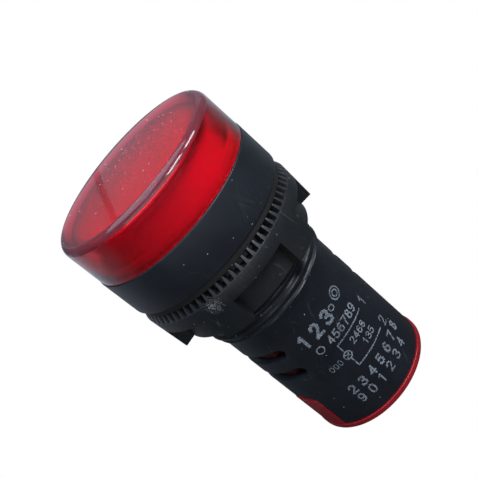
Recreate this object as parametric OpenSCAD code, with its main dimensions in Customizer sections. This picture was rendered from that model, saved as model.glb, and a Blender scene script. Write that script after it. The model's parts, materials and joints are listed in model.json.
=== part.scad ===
// Panel pilot light for a 22 mm panel hole, with a snap-in lens, a serrated
// ring nut and a rear terminal block. +Z leaves the panel through the lens,
// and z = 0 is the face of the bezel that seats on the panel. Millimetres.

/* [Bezel] */
// Outside diameter of the bezel
bezel_d = 29; // [28:0.5:32]
// Height of the bezel in front of the panel
bezel_h = 6.6; // [5.8:0.2:9]
// Wall of the bezel round its lens socket
bezel_wall = 1.6; // [1.2:0.1:1.8]
// Depth of the bezel's lens socket
socket_depth = 5; // [4.6:0.2:5.4]

/* [Barrel] */
// Outside diameter of the plain barrel
barrel_d = 20.4; // [20:0.1:20.8]
// Wall of the barrel
barrel_wall = 1; // [0.8:0.1:1.2]
// Length of the barrel behind the panel face
barrel_len = 36.5; // [35.5:0.5:44]
// Diameter over the thread
thread_d = 21.8; // [21.4:0.1:22.2]
// Length of the thread, with its lead-in cone
thread_len = 14.2; // [13:0.2:14.6]
// Pitch of the thread
thread_pitch = 1.5; // [1:0.25:2]
// Depth of the thread
thread_depth = 0.5; // [0.4:0.05:0.6]
// Length of the cone that leads onto the thread
lead_in = 1.8; // [1:0.1:2.2]
// Height of one vent slot
vent_h = 2; // [1.4:0.1:2.4]
// Distance from the panel face to the middle of the first vent slots
vent_start = 18.5; // [17.5:0.5:19]
// Distance from the first vent slots to the second
vent_step = 4.5; // [3.5:0.1:5]
// Arc that one vent slot spans
vent_angle = 76; // [50:2:90]

/* [Lens] */
// How far the lens sits inside the bezel's edge at their joint
lens_inset = 0.1; // [0:0.05:0.3]
// Height of the lens in front of the bezel
lens_h = 7.5; // [6.5:0.25:12]
// Draft of the lens, off its diameter from the joint to the face
lens_draft = 0.1; // [0:0.1:0.6]
// Radius of the lens's front edge
lens_round = 1.3; // [0.6:0.1:1.8]
// Thickness of the lens's wall and face
lens_wall = 1.7; // [1.2:0.1:1.9]
// Thickness of the lens's spigot, which snaps into the bezel
spigot_wall = 1.1; // [0.8:0.1:1.2]
// How far the snap bead stands out of the spigot
bead_h = 0.3; // [0.2:0.05:0.4]
// Thickness of the diffuser's disc and skirt
diffuser_t = 0.8; // [0.6:0.1:1.2]

/* [Gasket and ring nut] */
// How far the panel gasket sits inside the bezel's edge
gasket_inset = 0.4; // [0.2:0.1:1.5]
// Thickness of the panel gasket
gasket_t = 1; // [0.6:0.1:1.5]
// How far the ring nut's widest edge sits inside the bezel's edge
nut_inset = 0; // [0:0.05:0.3]
// Height of the ring nut
nut_h = 7.9; // [7:0.1:9]
// Height of the nut's toothed crown
crown_h = 1.4; // [1:0.1:1.8]
// Number of teeth on the crown
crown_teeth = 72; // [36:6:72]
// Height of the nut's flange, crown included
flange_h = 3.5; // [3:0.1:4.5]
// Diameter of the nut's body between its grip lugs
nut_body_d = 24.8; // [24.2:0.2:26]
// Number of grip lugs on the nut
lug_count = 6; // [3:1:8]
// Arc that one grip lug spans
lug_angle = 20; // [12:1:30]
// Arc from +X to the middle of the first grip lug
lug_start = 44; // [0:1:60]

/* [Terminal block] */
// Thickness of the block's rear rim
rim_t = 1; // [0.8:0.1:1.5]
// How far the rear rim stands out of the barrel
rim_lip = 0.2; // [0:0.05:0.2]
// Half width of the snap tongues and of their notches in the barrel
tongue_half = 2.8; // [2:0.1:3.4]
// Length of the snap tongues
tongue_len = 6.8; // [6:0.1:8]
// Length of the block's plug inside the barrel, behind its guide rails
plug_len = 12; // [11.5:0.25:12.5]
// Length of the rails that guide the driver board
rail_len = 10.5; // [8:0.5:12]
// Thickness of the barrier between the terminals
barrier_t = 2; // [1.6:0.1:2.4]
// Width of one terminal well across the barrier
well_w = 6.2; // [6:0.1:6.4]
// Length of one terminal well along the barrier
well_l = 8.4; // [7.6:0.1:8.6]
// Depth of one terminal well
well_depth = 7; // [6.8:0.1:7.4]

/* [Terminals] */
// Thread diameter of the terminal screws
screw_d = 3; // [2.8:0.1:3]
// Length of the terminal screws under their head
screw_len = 6; // [5:0.25:6]
// Diameter of the terminal screws' head
head_d = 5; // [4.6:0.1:5.4]
// Height of the terminal screws' head
head_h = 2; // [1.6:0.1:2.2]
// Thickness of the terminal plates
plate_t = 1; // [0.8:0.1:1.2]
// Thickness of the clamp washers
washer_t = 1; // [0.8:0.1:1]
// Length of one clamp washer along the barrier
washer_l = 5.4; // [4.6:0.1:5.8]

/* [Light source] */
// Thickness of both circuit boards
board_t = 1.2; // [0.8:0.1:1.6]
// Distance from the lamp board's edge to the circle of lamp domes
led_edge = 4.5; // [3.5:0.1:4.8]
// Diameter of one lamp dome
led_d = 3; // [2.6:0.1:3.2]
// Height of one lamp dome with its collar
led_h = 4.2; // [3.4:0.1:4.4]
// Width of the driver board
driver_w = 15.6; // [15:0.1:15.8]
// Length of the driver board
driver_len = 21.5; // [20:0.25:22]
// Width of the dropper capacitor
dropper_w = 10; // [7:0.5:10]
// Thickness of the dropper capacitor
dropper_t = 5; // [3:0.25:5.5]
// Height of the dropper capacitor
dropper_h = 11; // [8:0.5:11]
// Diameter of the smoothing capacitor
smoothing_d = 5; // [4:0.25:5]
// Length of the smoothing capacitor
smoothing_len = 5.5; // [4:0.25:5.5]

/* [Hidden] */

$fn = 96;
over = 0.5;              // how far a cutter runs past what it cuts
seat_gap = 0.1;          // between pieces that slip together once
slide_gap = 0.3;         // between flat sides that slide past each other
thread_gap = 0.05;       // between a crest and its nut, each side
bead_gap = 0.05;         // round a snap bead

// Housing
bezel_r = bezel_d / 2;
bezel_chamfer = 0.2;
socket_r = bezel_r - bezel_wall;
socket_z = bezel_h - socket_depth;
barrel_r = barrel_d / 2;
bore_r = barrel_r - barrel_wall;
thread_r = thread_d / 2;
root_r = thread_r - thread_depth;
lead_in_r = thread_r - 0.1;
thread_turns = floor((thread_len - lead_in - thread_depth / 2) / thread_pitch);
crest_w = thread_pitch / 5;
flank_w = thread_pitch * 0.3;
ramp_len = 1.6;          // shallow ramp that leads to each tongue notch
ramp_depth = 0.35;

// Lens, with its spigot and snap bead
lens_r = bezel_r - lens_inset;
lens_top_r = lens_r - lens_draft / 2;
spigot_r = socket_r - seat_gap;
spigot_in_r = spigot_r - spigot_wall;
spigot_z = socket_z + seat_gap;
bead_z = socket_z + socket_depth * 0.35;
bead_w = 1;

// Light source
led_board_r = spigot_in_r - 2 * seat_gap;
led_board_z = socket_z;
led_z = led_board_z + board_t;
led_circle_r = led_board_r - led_edge;
led_collar_r = led_d / 2 + 0.35;
led_collar_h = 1;
diffuser_r = spigot_in_r - seat_gap;
diffuser_z = bezel_h + lens_h - lens_wall - slide_gap - diffuser_t;  // underside of its disc
pin_side = 0.64;
pin_x = 4.2;
pin_y = board_t / 2 + pin_side / 2;
pin_hole_r = 0.55;

// Gasket and ring nut
gasket_r = bezel_r - gasket_inset;
nut_bore_r = thread_r + thread_gap;
nut_top_z = -gasket_t;
nut_r = bezel_r - nut_inset;
nut_draft = 0.25;        // off the radius from the crown to the lug ends
crown_slope = 0.6;       // off the radius from the crown's edge to its top
nut_body_r = nut_body_d / 2;
nut_end_z = nut_top_z - nut_h;
flange_z = nut_top_z - flange_h;
crown_z = nut_top_z - crown_h;
tooth_step = 360 / crown_teeth;
tooth_pitch = 2 * PI * nut_r / crown_teeth;
notch_top = 0.6 * tooth_pitch;
notch_root = 0.2 * tooth_pitch;
notch_depth = 0.85 * crown_h;
notch_in_r = nut_r - 1.9;
lug_end_gap = 0.2;       // lugs stop this much short of the nut's end

// Terminal block
rear_z = -barrel_len - rim_t;
rim_r = barrel_r + rim_lip;
rim_chamfer = 0.2;
plug_r = bore_r - seat_gap;
plug_z = rear_z + rim_t + plug_len;   // front of the plug, under the boards
tongue_r = barrel_r + 0.1;
rail_half = 3;
rail_in_x = driver_w / 2 - 0.7;
rail_groove_x = driver_w / 2 + seat_gap;
rail_top_z = plug_z + rail_len;
well_floor_z = rear_z + well_depth;
well_x = barrier_t / 2 + well_w / 2;  // middle of one well, and its screw
well_corner_r = 0.5;

// Terminals
screw_r = screw_d / 2;
head_r = head_d / 2;
plate_z = well_floor_z - plate_t;     // rear face of the plate
washer_z = plate_z - washer_t;        // rear face of the washer
head_z = washer_z - head_h;
washer_w = well_w - 2 * slide_gap;
washer_hole_r = screw_r + 2 * thread_gap;
plate_hole_r = screw_r + thread_gap;
pocket_r = screw_r + 0.2;
pocket_z = washer_z + screw_len + 0.6;
tab_w = 0.8;
tab_t = 0.6;
tab_x = rail_in_x - tab_w / 2 - 2 * seat_gap;
tab_y = board_t / 2 + tab_t / 2;
tab_top_z = plug_z + 3.5;
slot_w = 0.9;                         // driver slot in the screw head
slot_depth = 0.8;

// Driver board and what stands on it
driver_top_z = plug_z + driver_len;
face_y = board_t / 2;
dropper_rise = 5.2;      // from the plug to the dropper capacitor's lower end
smoothing_rise = 11;     // from the plug to the smoothing capacitor's axis
limiting_rise = 5.6;     // from the plug to the limiting resistor's axis
bleed_rise = 18.6;       // from the plug to the bleed resistor's axis
dropper_z = plug_z + dropper_rise;
smoothing_z = plug_z + smoothing_rise;
limiting_z = plug_z + limiting_rise;
bleed_z = plug_z + bleed_rise;
smoothing_x = 2.6;
smoothing_bead = 0.8;    // from the foot to the groove rolled in the can
smoothing_groove = 0.25;
rectifier_x = -3.4;
rectifier_body = [4, 2.4, 4.6];
rectifier_foot = [0.8, 0.3, 0.8];
resistor_r = 1.1;
resistor_body = 5.6;
resistor_reach = 8.4;
lead_r = 0.3;
lead_stand = resistor_r + 0.2;        // axis of a resistor off the board

// Ring with a rectangular section, from z1 up to z2
module ring(r_in, r_out, z1, z2) {
    rotate_extrude()
        translate([r_in, z1]) square([r_out - r_in, z2 - z1]);
}

// Outline of one thread ridge, from its lower root to its upper one
function ridge(z) = [
    [root_r, z - crest_w / 2 - flank_w],
    [thread_r, z - crest_w / 2],
    [thread_r, z + crest_w / 2],
    [root_r, z + crest_w / 2 + flank_w]
];

// Outline of all the thread's ridges, from the last up to the panel face
function ridges() = [
    for (turn = [thread_turns - 1:-1:0], point = ridge(-(turn + 0.5) * thread_pitch)) point
];

// Slot with round ends through the barrel's wall, its middle on +X
module vent_slot(z) {
    half_l = barrel_r * sin(vent_angle / 2) - vent_h / 2;
    translate([bore_r * cos(vent_angle / 2) - over, 0, z])
        rotate([90, 0, 90])
            linear_extrude(barrel_r) {
                square([2 * half_l, vent_h], center = true);
                for (side = [-1, 1])
                    translate([side * half_l, 0]) circle(d = vent_h, $fn = 48);
            }
}

// Notch for a snap tongue at +X, with the shallow ramp in front of it
module tongue_notch() {
    notch_half = tongue_half + seat_gap;
    translate([bore_r - over, -notch_half, -barrel_len - over])
        cube([barrel_wall + 2 * over, 2 * notch_half, tongue_len + seat_gap + over]);
    translate([0, notch_half, -barrel_len + tongue_len])
        rotate([90, 0, 0])
            linear_extrude(2 * notch_half)
                polygon([
                    [barrel_r + over, ramp_len],
                    [barrel_r, ramp_len],
                    [barrel_r - ramp_depth, 0],
                    [barrel_r + over, 0]
                ]);
}

// Bezel, threaded neck and barrel in one moulding
module housing() {
    color("#1d1e21")
    difference() {
        rotate_extrude()
            polygon(concat(
                [
                    [bore_r, -barrel_len],
                    [barrel_r - bezel_chamfer, -barrel_len],
                    [barrel_r, -barrel_len + bezel_chamfer],
                    [barrel_r, -thread_len],
                    [lead_in_r, -thread_len + lead_in],
                    [root_r, -thread_len + lead_in + thread_depth / 2]
                ],
                ridges(),
                [
                    [root_r, 0],
                    [bezel_r - bezel_chamfer, 0],
                    [bezel_r, bezel_chamfer],
                    [bezel_r, bezel_h - bezel_chamfer],
                    [bezel_r - bezel_chamfer, bezel_h],
                    [socket_r, bezel_h],
                    [socket_r, socket_z],
                    [bore_r, socket_z]
                ]
            ));
        ring(socket_r - over, socket_r + bead_h, bead_z - bead_w / 2 - bead_gap,
            bead_z + bead_w / 2 + bead_gap);
        for (side = [0, 180])
            rotate([0, 0, side]) {
                for (row = [0, 1])
                    vent_slot(-vent_start - row * vent_step);
                tongue_notch();
            }
    }
}

// Solid outline of the lens outside the bezel, offset inwards by wall
module lens_outline(wall) {
    round_r = lens_round - min(wall, lens_round - 0.2);
    top = lens_h - wall;
    foot_r = lens_r - wall;
    top_r = lens_top_r - wall;
    polygon([[0, 0], [foot_r, 0], [top_r, top - round_r], [top_r - round_r, top], [0, top]]);
    translate([top_r - round_r, top - round_r]) circle(r = round_r);
}

// Translucent cap with a rounded edge, and a spigot with a snap bead
module lens_cap() {
    color("#c4141f", 0.8)
    rotate_extrude() {
        translate([0, bezel_h])
            intersection() {
                difference() {
                    lens_outline(0);
                    lens_outline(lens_wall);
                }
                square([lens_r, lens_h]);
            }
        translate([spigot_in_r, spigot_z])
            square([spigot_wall, bezel_h - spigot_z]);
        translate([spigot_in_r, bezel_h])
            square([lens_r - lens_wall - spigot_in_r + seat_gap, spigot_wall]);
        polygon([
            [spigot_r - spigot_wall / 2, bead_z - bead_w / 2],
            [spigot_r, bead_z - bead_w / 2],
            [socket_r + bead_h - bead_gap, bead_z],
            [spigot_r, bead_z + bead_w / 2],
            [spigot_r - spigot_wall / 2, bead_z + bead_w / 2]
        ]);
    }
}

// Cup that stands on the lamp board and spreads the light
module diffuser() {
    color("#e4707a", 0.8)
    rotate_extrude()
        polygon([
            [diffuser_r - diffuser_t, led_z],
            [diffuser_r, led_z],
            [diffuser_r, diffuser_z + diffuser_t - 0.3],
            [diffuser_r - 0.3, diffuser_z + diffuser_t],
            [0, diffuser_z + diffuser_t],
            [0, diffuser_z],
            [diffuser_r - diffuser_t, diffuser_z]
        ]);
}

// Flat rubber ring between the bezel and the panel
module panel_gasket() {
    color("#3a3532")
    ring(nut_bore_r, gasket_r, -gasket_t, 0);
}

// Notch between two teeth of the crown, on +X
module crown_notch() {
    translate([notch_in_r, 0, nut_top_z])
        rotate([90, 0, 90])
            linear_extrude(nut_r + over - notch_in_r)
                polygon([
                    [-notch_top / 2, over],
                    [-notch_top / 2, 0],
                    [-notch_root / 2, -notch_depth],
                    [notch_root / 2, -notch_depth],
                    [notch_top / 2, 0],
                    [notch_top / 2, over]
                ]);
}

// Grip lug under the flange, its middle on +X
module grip_lug() {
    lug_z = nut_end_z + lug_end_gap;
    slope = nut_draft / (nut_h - crown_h);
    rotate([0, 0, -lug_angle / 2])
        rotate_extrude(angle = lug_angle)
            polygon([
                [nut_body_r - over, flange_z + over],
                [nut_r - slope * (crown_z - flange_z - over), flange_z + over],
                [nut_r - slope * (crown_z - lug_z), lug_z],
                [nut_body_r - over, lug_z]
            ]);
}

// Ring nut with a toothed conical crown that bites the panel
module ring_nut() {
    slope = nut_draft / (nut_h - crown_h);
    color("#202124")
    difference() {
        union() {
            rotate_extrude()
                polygon([
                    [nut_bore_r, nut_top_z],
                    [nut_r - crown_slope, nut_top_z],
                    [nut_r, crown_z],
                    [nut_r - slope * (crown_z - flange_z), flange_z],
                    [nut_body_r, flange_z],
                    [nut_body_r, nut_end_z],
                    [nut_bore_r, nut_end_z]
                ]);
            for (lug = [0:lug_count - 1])
                rotate([0, 0, lug_start + lug * 360 / lug_count])
                    grip_lug();
        }
        for (tooth = [0:crown_teeth - 1])
            rotate([0, 0, tooth * tooth_step])
                crown_notch();
    }
}

// Rounded rectangle, centred
module rounded_rect(w, l, r) {
    square([w - 2 * r, l], center = true);
    square([w, l - 2 * r], center = true);
    for (x = [-1, 1], y = [-1, 1])
        translate([x * (w / 2 - r), y * (l / 2 - r)]) circle(r = r, $fn = 32);
}

// Space for one terminal on the +X side: the well, the screw's pocket and
// the passage for the plate's tab
module terminal_space() {
    translate([well_x, 0, rear_z - over])
        linear_extrude(well_depth + over)
            rounded_rect(well_w, well_l, well_corner_r);
    translate([well_x, 0, well_floor_z - over])
        cylinder(r = pocket_r, h = pocket_z - well_floor_z + over);
    translate([tab_x - tab_w / 2 - seat_gap, tab_y - tab_t / 2 - seat_gap, well_floor_z - over])
        cube([tab_w + 2 * seat_gap, tab_t + 2 * seat_gap, plug_z - well_floor_z + 2 * over]);
}

// Rail that guides the driver board's edge, and the snap tongue, on +X
module rail_and_tongue() {
    difference() {
        intersection() {
            translate([rail_in_x, -rail_half, plug_z - over])
                cube([plug_r, 2 * rail_half, rail_len + over]);
            cylinder(r = plug_r, h = 2 * barrel_len, center = true);
        }
        translate([0, -face_y - seat_gap, plug_z])
            cube([rail_groove_x, board_t + 2 * seat_gap, rail_len + over]);
    }
    intersection() {
        translate([bore_r - 1, -tongue_half, rear_z + rim_t - over])
            cube([barrel_r, 2 * tongue_half, tongue_len + over]);
        cylinder(r = tongue_r, h = 2 * barrel_len, center = true);
    }
}

// Rear block: plug, rim, tongues, rails and two wells with a barrier between
module terminal_base() {
    color("#a5141c")
    difference() {
        union() {
            rotate_extrude()
                polygon([
                    [0, rear_z],
                    [rim_r - rim_chamfer, rear_z],
                    [rim_r, rear_z + rim_chamfer],
                    [rim_r, rear_z + rim_t],
                    [plug_r, rear_z + rim_t],
                    [plug_r, plug_z],
                    [0, plug_z]
                ]);
            for (side = [0, 180])
                rotate([0, 0, side]) rail_and_tongue();
        }
        for (side = [0, 180])
            rotate([0, 0, side]) terminal_space();
    }
}

// Brass plate on the floor of a well, with a tab up to the driver board
module terminal_plate() {
    color("#c9a24a")
    difference() {
        union() {
            translate([well_x, 0, plate_z])
                linear_extrude(plate_t)
                    rounded_rect(well_w - 2 * seat_gap, well_l - 2 * seat_gap, well_corner_r);
            translate([tab_x - tab_w / 2, tab_y - tab_t / 2, plate_z + plate_t / 2])
                cube([tab_w, tab_t, tab_top_z - plate_z - plate_t / 2]);
        }
        translate([well_x, 0, plate_z - over])
            cylinder(r = plate_hole_r, h = plate_t + 2 * over);
    }
}

// Captive square washer with its two long edges turned up for the wire
module clamp_washer() {
    edge_h = 0.3;
    color("#c8c9cb")
    translate([well_x, 0, washer_z])
        difference() {
            translate([-washer_w / 2, -washer_l / 2, 0])
                cube([washer_w, washer_l, washer_t]);
            translate([0, 0, -over])
                cylinder(r = washer_hole_r, h = washer_t + 2 * over);
            for (side = [-1, 1])
                translate([0, side * washer_l / 2, washer_t])
                    rotate([45, 0, 0])
                        cube([washer_w + over, edge_h, edge_h], center = true);
        }
}

// Pan-head screw with a cross slot, its head at the rear
module terminal_screw() {
    color("#b9bcc0")
    translate([well_x, 0, washer_z])
        difference() {
            union() {
                cylinder(r = screw_r, h = screw_len);
                rotate_extrude()
                    polygon([
                        [0, -head_h],
                        [head_r - 0.4, -head_h],
                        [head_r, -head_h + 0.4],
                        [head_r, 0],
                        [0, 0]
                    ]);
            }
            for (turn = [0, 90])
                rotate([0, 0, turn])
                    translate([-head_r * 0.66, -slot_w / 2, -head_h - over])
                        cube([head_r * 1.32, slot_w, slot_depth + over]);
        }
}

// Round board that carries the lamp domes
module led_board() {
    color("#e8e6df")
    difference() {
        translate([0, 0, led_board_z]) cylinder(r = led_board_r, h = board_t);
        for (side = [-1, 1])
            translate([side * pin_x, pin_y, led_board_z - over])
                cylinder(r = pin_hole_r, h = board_t + 2 * over, $fn = 32);
    }
}

// Lamp dome number 1 to 6
module led(number) {
    color("#d8323c")
    rotate([0, 0, (number - 0.5) * 60])
        translate([led_circle_r, 0, led_z]) {
            cylinder(r = led_collar_r, h = led_collar_h, $fn = 48);
            rotate_extrude($fn = 48) {
                square([led_d / 2, led_h - led_d / 2]);
                intersection() {
                    translate([0, led_h - led_d / 2]) circle(d = led_d);
                    square([led_d / 2, led_h]);
                }
            }
        }
}

// Upright board between the rails
module driver_board() {
    color("#2f6b3c")
    translate([-driver_w / 2, -face_y, plug_z])
        cube([driver_w, board_t, driver_len]);
}

// Two square pins that join the boards
module link_pins() {
    foot = 5;
    color("#d6c06a")
    for (side = [-1, 1])
        translate([side * pin_x - pin_side / 2, face_y, driver_top_z - foot])
            cube([pin_side, pin_side, led_z + 0.6 - driver_top_z + foot]);
}

// Box film capacitor on the front face of the board
module dropper_capacitor() {
    edge = 0.5;
    color("#c9922e")
    translate([0, -face_y, dropper_z])
        rotate([90, 0, 0])
            linear_extrude(dropper_t)
                translate([0, dropper_h / 2]) rounded_rect(dropper_w, dropper_h, edge);
}

// Electrolytic capacitor that stands on the board's other face
module smoothing_capacitor() {
    can_r = smoothing_d / 2;
    color("#26304f")
    translate([smoothing_x, face_y, smoothing_z])
        rotate([-90, 0, 0])
            rotate_extrude($fn = 48)
                polygon([
                    [0, 0],
                    [can_r, 0],
                    [can_r, smoothing_bead],
                    [can_r - smoothing_groove, smoothing_bead + smoothing_groove],
                    [can_r, smoothing_bead + 2 * smoothing_groove],
                    [can_r, smoothing_len - smoothing_groove],
                    [can_r - smoothing_groove, smoothing_len],
                    [0, smoothing_len]
                ]);
}

// Four-pin rectifier package beside the smoothing capacitor
module bridge_rectifier() {
    stand = rectifier_foot[1] / 2;
    color("#2b2b2d")
    translate([rectifier_x, face_y, smoothing_z]) {
        translate([-rectifier_body[0] / 2, stand, -rectifier_body[2] / 2])
            cube(rectifier_body);
        for (x = [-1, 1], z = [-1, 1])
            translate([x * rectifier_body[0] / 3, stand, z * rectifier_body[2] / 2])
                cube(rectifier_foot, center = true);
    }
}

// Axial resistor along X whose bent leads end on the face at y = 0
module axial_resistor(finish) {
    color(finish) {
        translate([0, lead_stand, 0])
            rotate([0, 90, 0]) {
                cylinder(r = resistor_r, h = resistor_body, center = true, $fn = 48);
                cylinder(r = lead_r, h = resistor_reach, center = true, $fn = 24);
            }
        for (side = [-1, 1])
            translate([side * resistor_reach / 2, 0, 0])
                rotate([-90, 0, 0]) {
                    cylinder(r = lead_r, h = lead_stand, $fn = 24);
                    translate([0, 0, lead_stand]) sphere(r = lead_r, $fn = 24);
                }
    }
}

// Resistor under the smoothing capacitor
module limiting_resistor() {
    translate([0, face_y, limiting_z]) axial_resistor("#c8a878");
}

// Resistor above the dropper capacitor, on its face of the board
module bleed_resistor() {
    translate([0, -face_y, bleed_z]) mirror([0, 1, 0]) axial_resistor("#7fa6c9");
}

housing();
lens_cap();
diffuser();
panel_gasket();
ring_nut();
terminal_base();
terminal_plate();  // terminal_plate_1
rotate([0, 0, 180]) terminal_plate();  // terminal_plate_2
clamp_washer();  // clamp_washer_1
rotate([0, 0, 180]) clamp_washer();  // clamp_washer_2
terminal_screw();  // terminal_screw_1
rotate([0, 0, 180]) terminal_screw();  // terminal_screw_2
led_board();
led(1);  // led_1
led(2);  // led_2
led(3);  // led_3
led(4);  // led_4
led(5);  // led_5
led(6);  // led_6
driver_board();
link_pins();
dropper_capacitor();
smoothing_capacitor();
bridge_rectifier();
limiting_resistor();
bleed_resistor();
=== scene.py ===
"""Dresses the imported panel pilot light: moulded shells, worn print, finishes and studio.

Lengths are in metres in the part's own frame: +Z leaves the panel through the lens, z = 0
is the bezel's seat and the printed side of the barrel faces -Y. Main sizes are read from
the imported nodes; only fine detail is given here.
"""

import json
import logging
import math
import random
from collections.abc import Callable, Sequence
from dataclasses import dataclass, field
from enum import Enum

import bmesh
import bpy
from mathutils import Matrix, Vector


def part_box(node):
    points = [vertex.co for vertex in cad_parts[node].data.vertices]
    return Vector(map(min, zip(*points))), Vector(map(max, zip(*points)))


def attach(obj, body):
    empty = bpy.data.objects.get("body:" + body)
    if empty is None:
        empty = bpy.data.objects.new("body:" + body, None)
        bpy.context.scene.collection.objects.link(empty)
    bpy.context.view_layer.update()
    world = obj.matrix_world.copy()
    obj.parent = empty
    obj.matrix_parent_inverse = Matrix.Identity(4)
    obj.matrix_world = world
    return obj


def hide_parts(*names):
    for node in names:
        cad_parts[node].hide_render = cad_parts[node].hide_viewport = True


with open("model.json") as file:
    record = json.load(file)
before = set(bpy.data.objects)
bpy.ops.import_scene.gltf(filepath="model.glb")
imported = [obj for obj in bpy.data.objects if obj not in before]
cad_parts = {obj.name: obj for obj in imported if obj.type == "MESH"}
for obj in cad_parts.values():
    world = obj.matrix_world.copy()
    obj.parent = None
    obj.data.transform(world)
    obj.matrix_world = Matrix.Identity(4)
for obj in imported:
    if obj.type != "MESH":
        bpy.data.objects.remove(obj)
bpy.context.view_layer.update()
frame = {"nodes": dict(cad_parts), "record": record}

MM = 0.001
TURN = 2 * math.pi
RIGHT_ANGLE = math.pi / 2
BOTH_SIDES = (0.0, math.pi)
LOG = logging.getLogger("pilot_light")

Outline = list[tuple[float, float]]
Point = tuple[float, float, float]
Colour = tuple[float, float, float]
Factor = bpy.types.NodeSocket | float
Tone = bpy.types.NodeSocket | Colour


class Body(str, Enum):
    """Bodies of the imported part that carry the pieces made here."""

    CASE = "case"
    GASKET = "gasket"
    NUT = "nut"
    SCREW_1 = "screw_1"
    SCREW_2 = "screw_2"


class Grain(Enum):
    """Direction of a surface's fine texture, as its stretch across and along Z."""

    EVEN = (1.0, 1.0)
    AXIAL = (1.0, 0.12)
    TURNED = (0.2, 3.0)


# ---------------------------------------------------------------------------------------
# Sizes
# ---------------------------------------------------------------------------------------


@dataclass(frozen=True)
class Sizes:
    """Main sizes of the light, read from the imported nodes.

    Attributes:
        bezel_r: Radius of the bezel.
        bezel_z: Height of the joint between bezel and lens.
        barrel_z: Rear end of the black barrel.
        lens_r: Radius of the lens at its foot.
        lens_z: Height of the lens's face.
        spigot_z: Lower end of the lens's spigot.
        gasket_r: Radius of the gasket.
        nut_r: Largest radius of the ring nut.
        nut_top_z: Face of the nut's toothed crown.
        nut_end_z: Rear face of the ring nut.
        rim_r: Radius of the red rear rim.
        rear_z: Rear face of the terminal block.
        rail_z: Top of the driver board's guide rails.
    """

    bezel_r: float
    bezel_z: float
    barrel_z: float
    lens_r: float
    lens_z: float
    spigot_z: float
    gasket_r: float
    nut_r: float
    nut_top_z: float
    nut_end_z: float
    rim_r: float
    rear_z: float
    rail_z: float

    @classmethod
    def from_frame(cls) -> "Sizes":
        """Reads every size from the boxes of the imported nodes.

        Returns:
            The sizes.
        """
        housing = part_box("housing")
        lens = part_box("lens_cap")
        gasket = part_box("panel_gasket")
        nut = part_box("ring_nut")
        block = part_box("terminal_base")
        return cls(
            bezel_r=housing[1][0],
            bezel_z=housing[1][2],
            barrel_z=housing[0][2],
            lens_r=lens[1][0],
            lens_z=lens[1][2],
            spigot_z=lens[0][2],
            gasket_r=gasket[1][0],
            nut_r=nut[1][0],
            nut_top_z=nut[1][2],
            nut_end_z=nut[0][2],
            rim_r=block[1][0],
            rear_z=block[0][2],
            rail_z=block[1][2],
        )


@dataclass(frozen=True)
class Barrel:
    """Fine sizes of the black moulding behind the bezel.

    Attributes:
        radius: Outside of the plain barrel.
        bore: Inside of the barrel, as a radius.
        thread_r: Radius of the thread's crests.
        root_r: Radius of the thread's roots.
        pitch: Travel in one turn of the thread.
        thread_len: Length of the threaded neck.
        lead_in: Length over which the thread runs out.
        crest: Share of half a pitch that is flat at a crest.
        root: Share of half a pitch at which the root starts.
        vent_h: Height of a vent.
        vent_half: Half of a vent's width.
        vent_z: Height of each vent's middle.
        vent_start: Distance from the axis at which a vent's cutter starts.
        vent_reach: Length of a vent's cutter.
        notch_half: Half of the width of a tongue's notch.
        notch_len: Length of a tongue's notch.
        ramp_len: Length of the ramp above a notch.
        ramp_depth: Depth of the ramp at the notch.
    """

    radius: float = 10.2 * MM
    bore: float = 9.2 * MM
    thread_r: float = 10.9 * MM
    root_r: float = 10.4 * MM
    pitch: float = 1.5 * MM
    thread_len: float = 14.2 * MM
    lead_in: float = 1.8 * MM
    crest: float = 0.22
    root: float = 0.80
    vent_h: float = 2.0 * MM
    vent_half: float = 6.28 * MM
    vent_z: tuple[float, float] = (-18.5 * MM, -23.0 * MM)
    vent_start: float = 6.0 * MM
    vent_reach: float = 6.0 * MM
    notch_half: float = 2.9 * MM
    notch_len: float = 6.9 * MM
    ramp_len: float = 1.6 * MM
    ramp_depth: float = 0.35 * MM


@dataclass(frozen=True)
class Nut:
    """Fine sizes of the ring nut.

    Attributes:
        teeth: Number of crown teeth.
        lugs: Number of grip lugs.
        lug_angle: Angle that one lug takes up.
        lug_start: Angle of the first lug's middle.
        bore: Radius of the hole.
        body_r: Radius of the body between the lugs.
        crown_h: Height of the coned crown.
        crown_slope: How far the crown's cone comes in at its top.
        flange_h: Height of crown and flange together.
        draft: How far the outside comes in from the crown to the rear.
        notch_depth: Depth of the gaps between the teeth.
        tip: Share of a tooth's pitch from its middle to the edge of its tip.
        foot: Share of a tooth's pitch from its middle to its foot.
        notch_reach: How far a gap reaches in from the largest radius.
        lug_end_gap: Gap between a lug's end and the rear face.
        edge: Width of the rounding of the sharp edges.
    """

    teeth: int = 72
    lugs: int = 6
    lug_angle: float = math.radians(20)
    lug_start: float = math.radians(44)
    bore: float = 10.95 * MM
    body_r: float = 12.4 * MM
    crown_h: float = 1.4 * MM
    crown_slope: float = 0.6 * MM
    flange_h: float = 3.5 * MM
    draft: float = 0.25 * MM
    notch_depth: float = 1.30 * MM
    tip: float = 0.10
    foot: float = 0.22
    notch_reach: float = 1.9 * MM
    lug_end_gap: float = 0.2 * MM
    edge: float = 0.07 * MM


# ---------------------------------------------------------------------------------------
# Mesh tools
# ---------------------------------------------------------------------------------------

# Points closer than this are one, and faces smaller than this have no area.
MERGE_GAP = 0.0004 * MM
LEAST_AREA = 1e-16

BEVEL_PROFILE = 0.6


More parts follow.
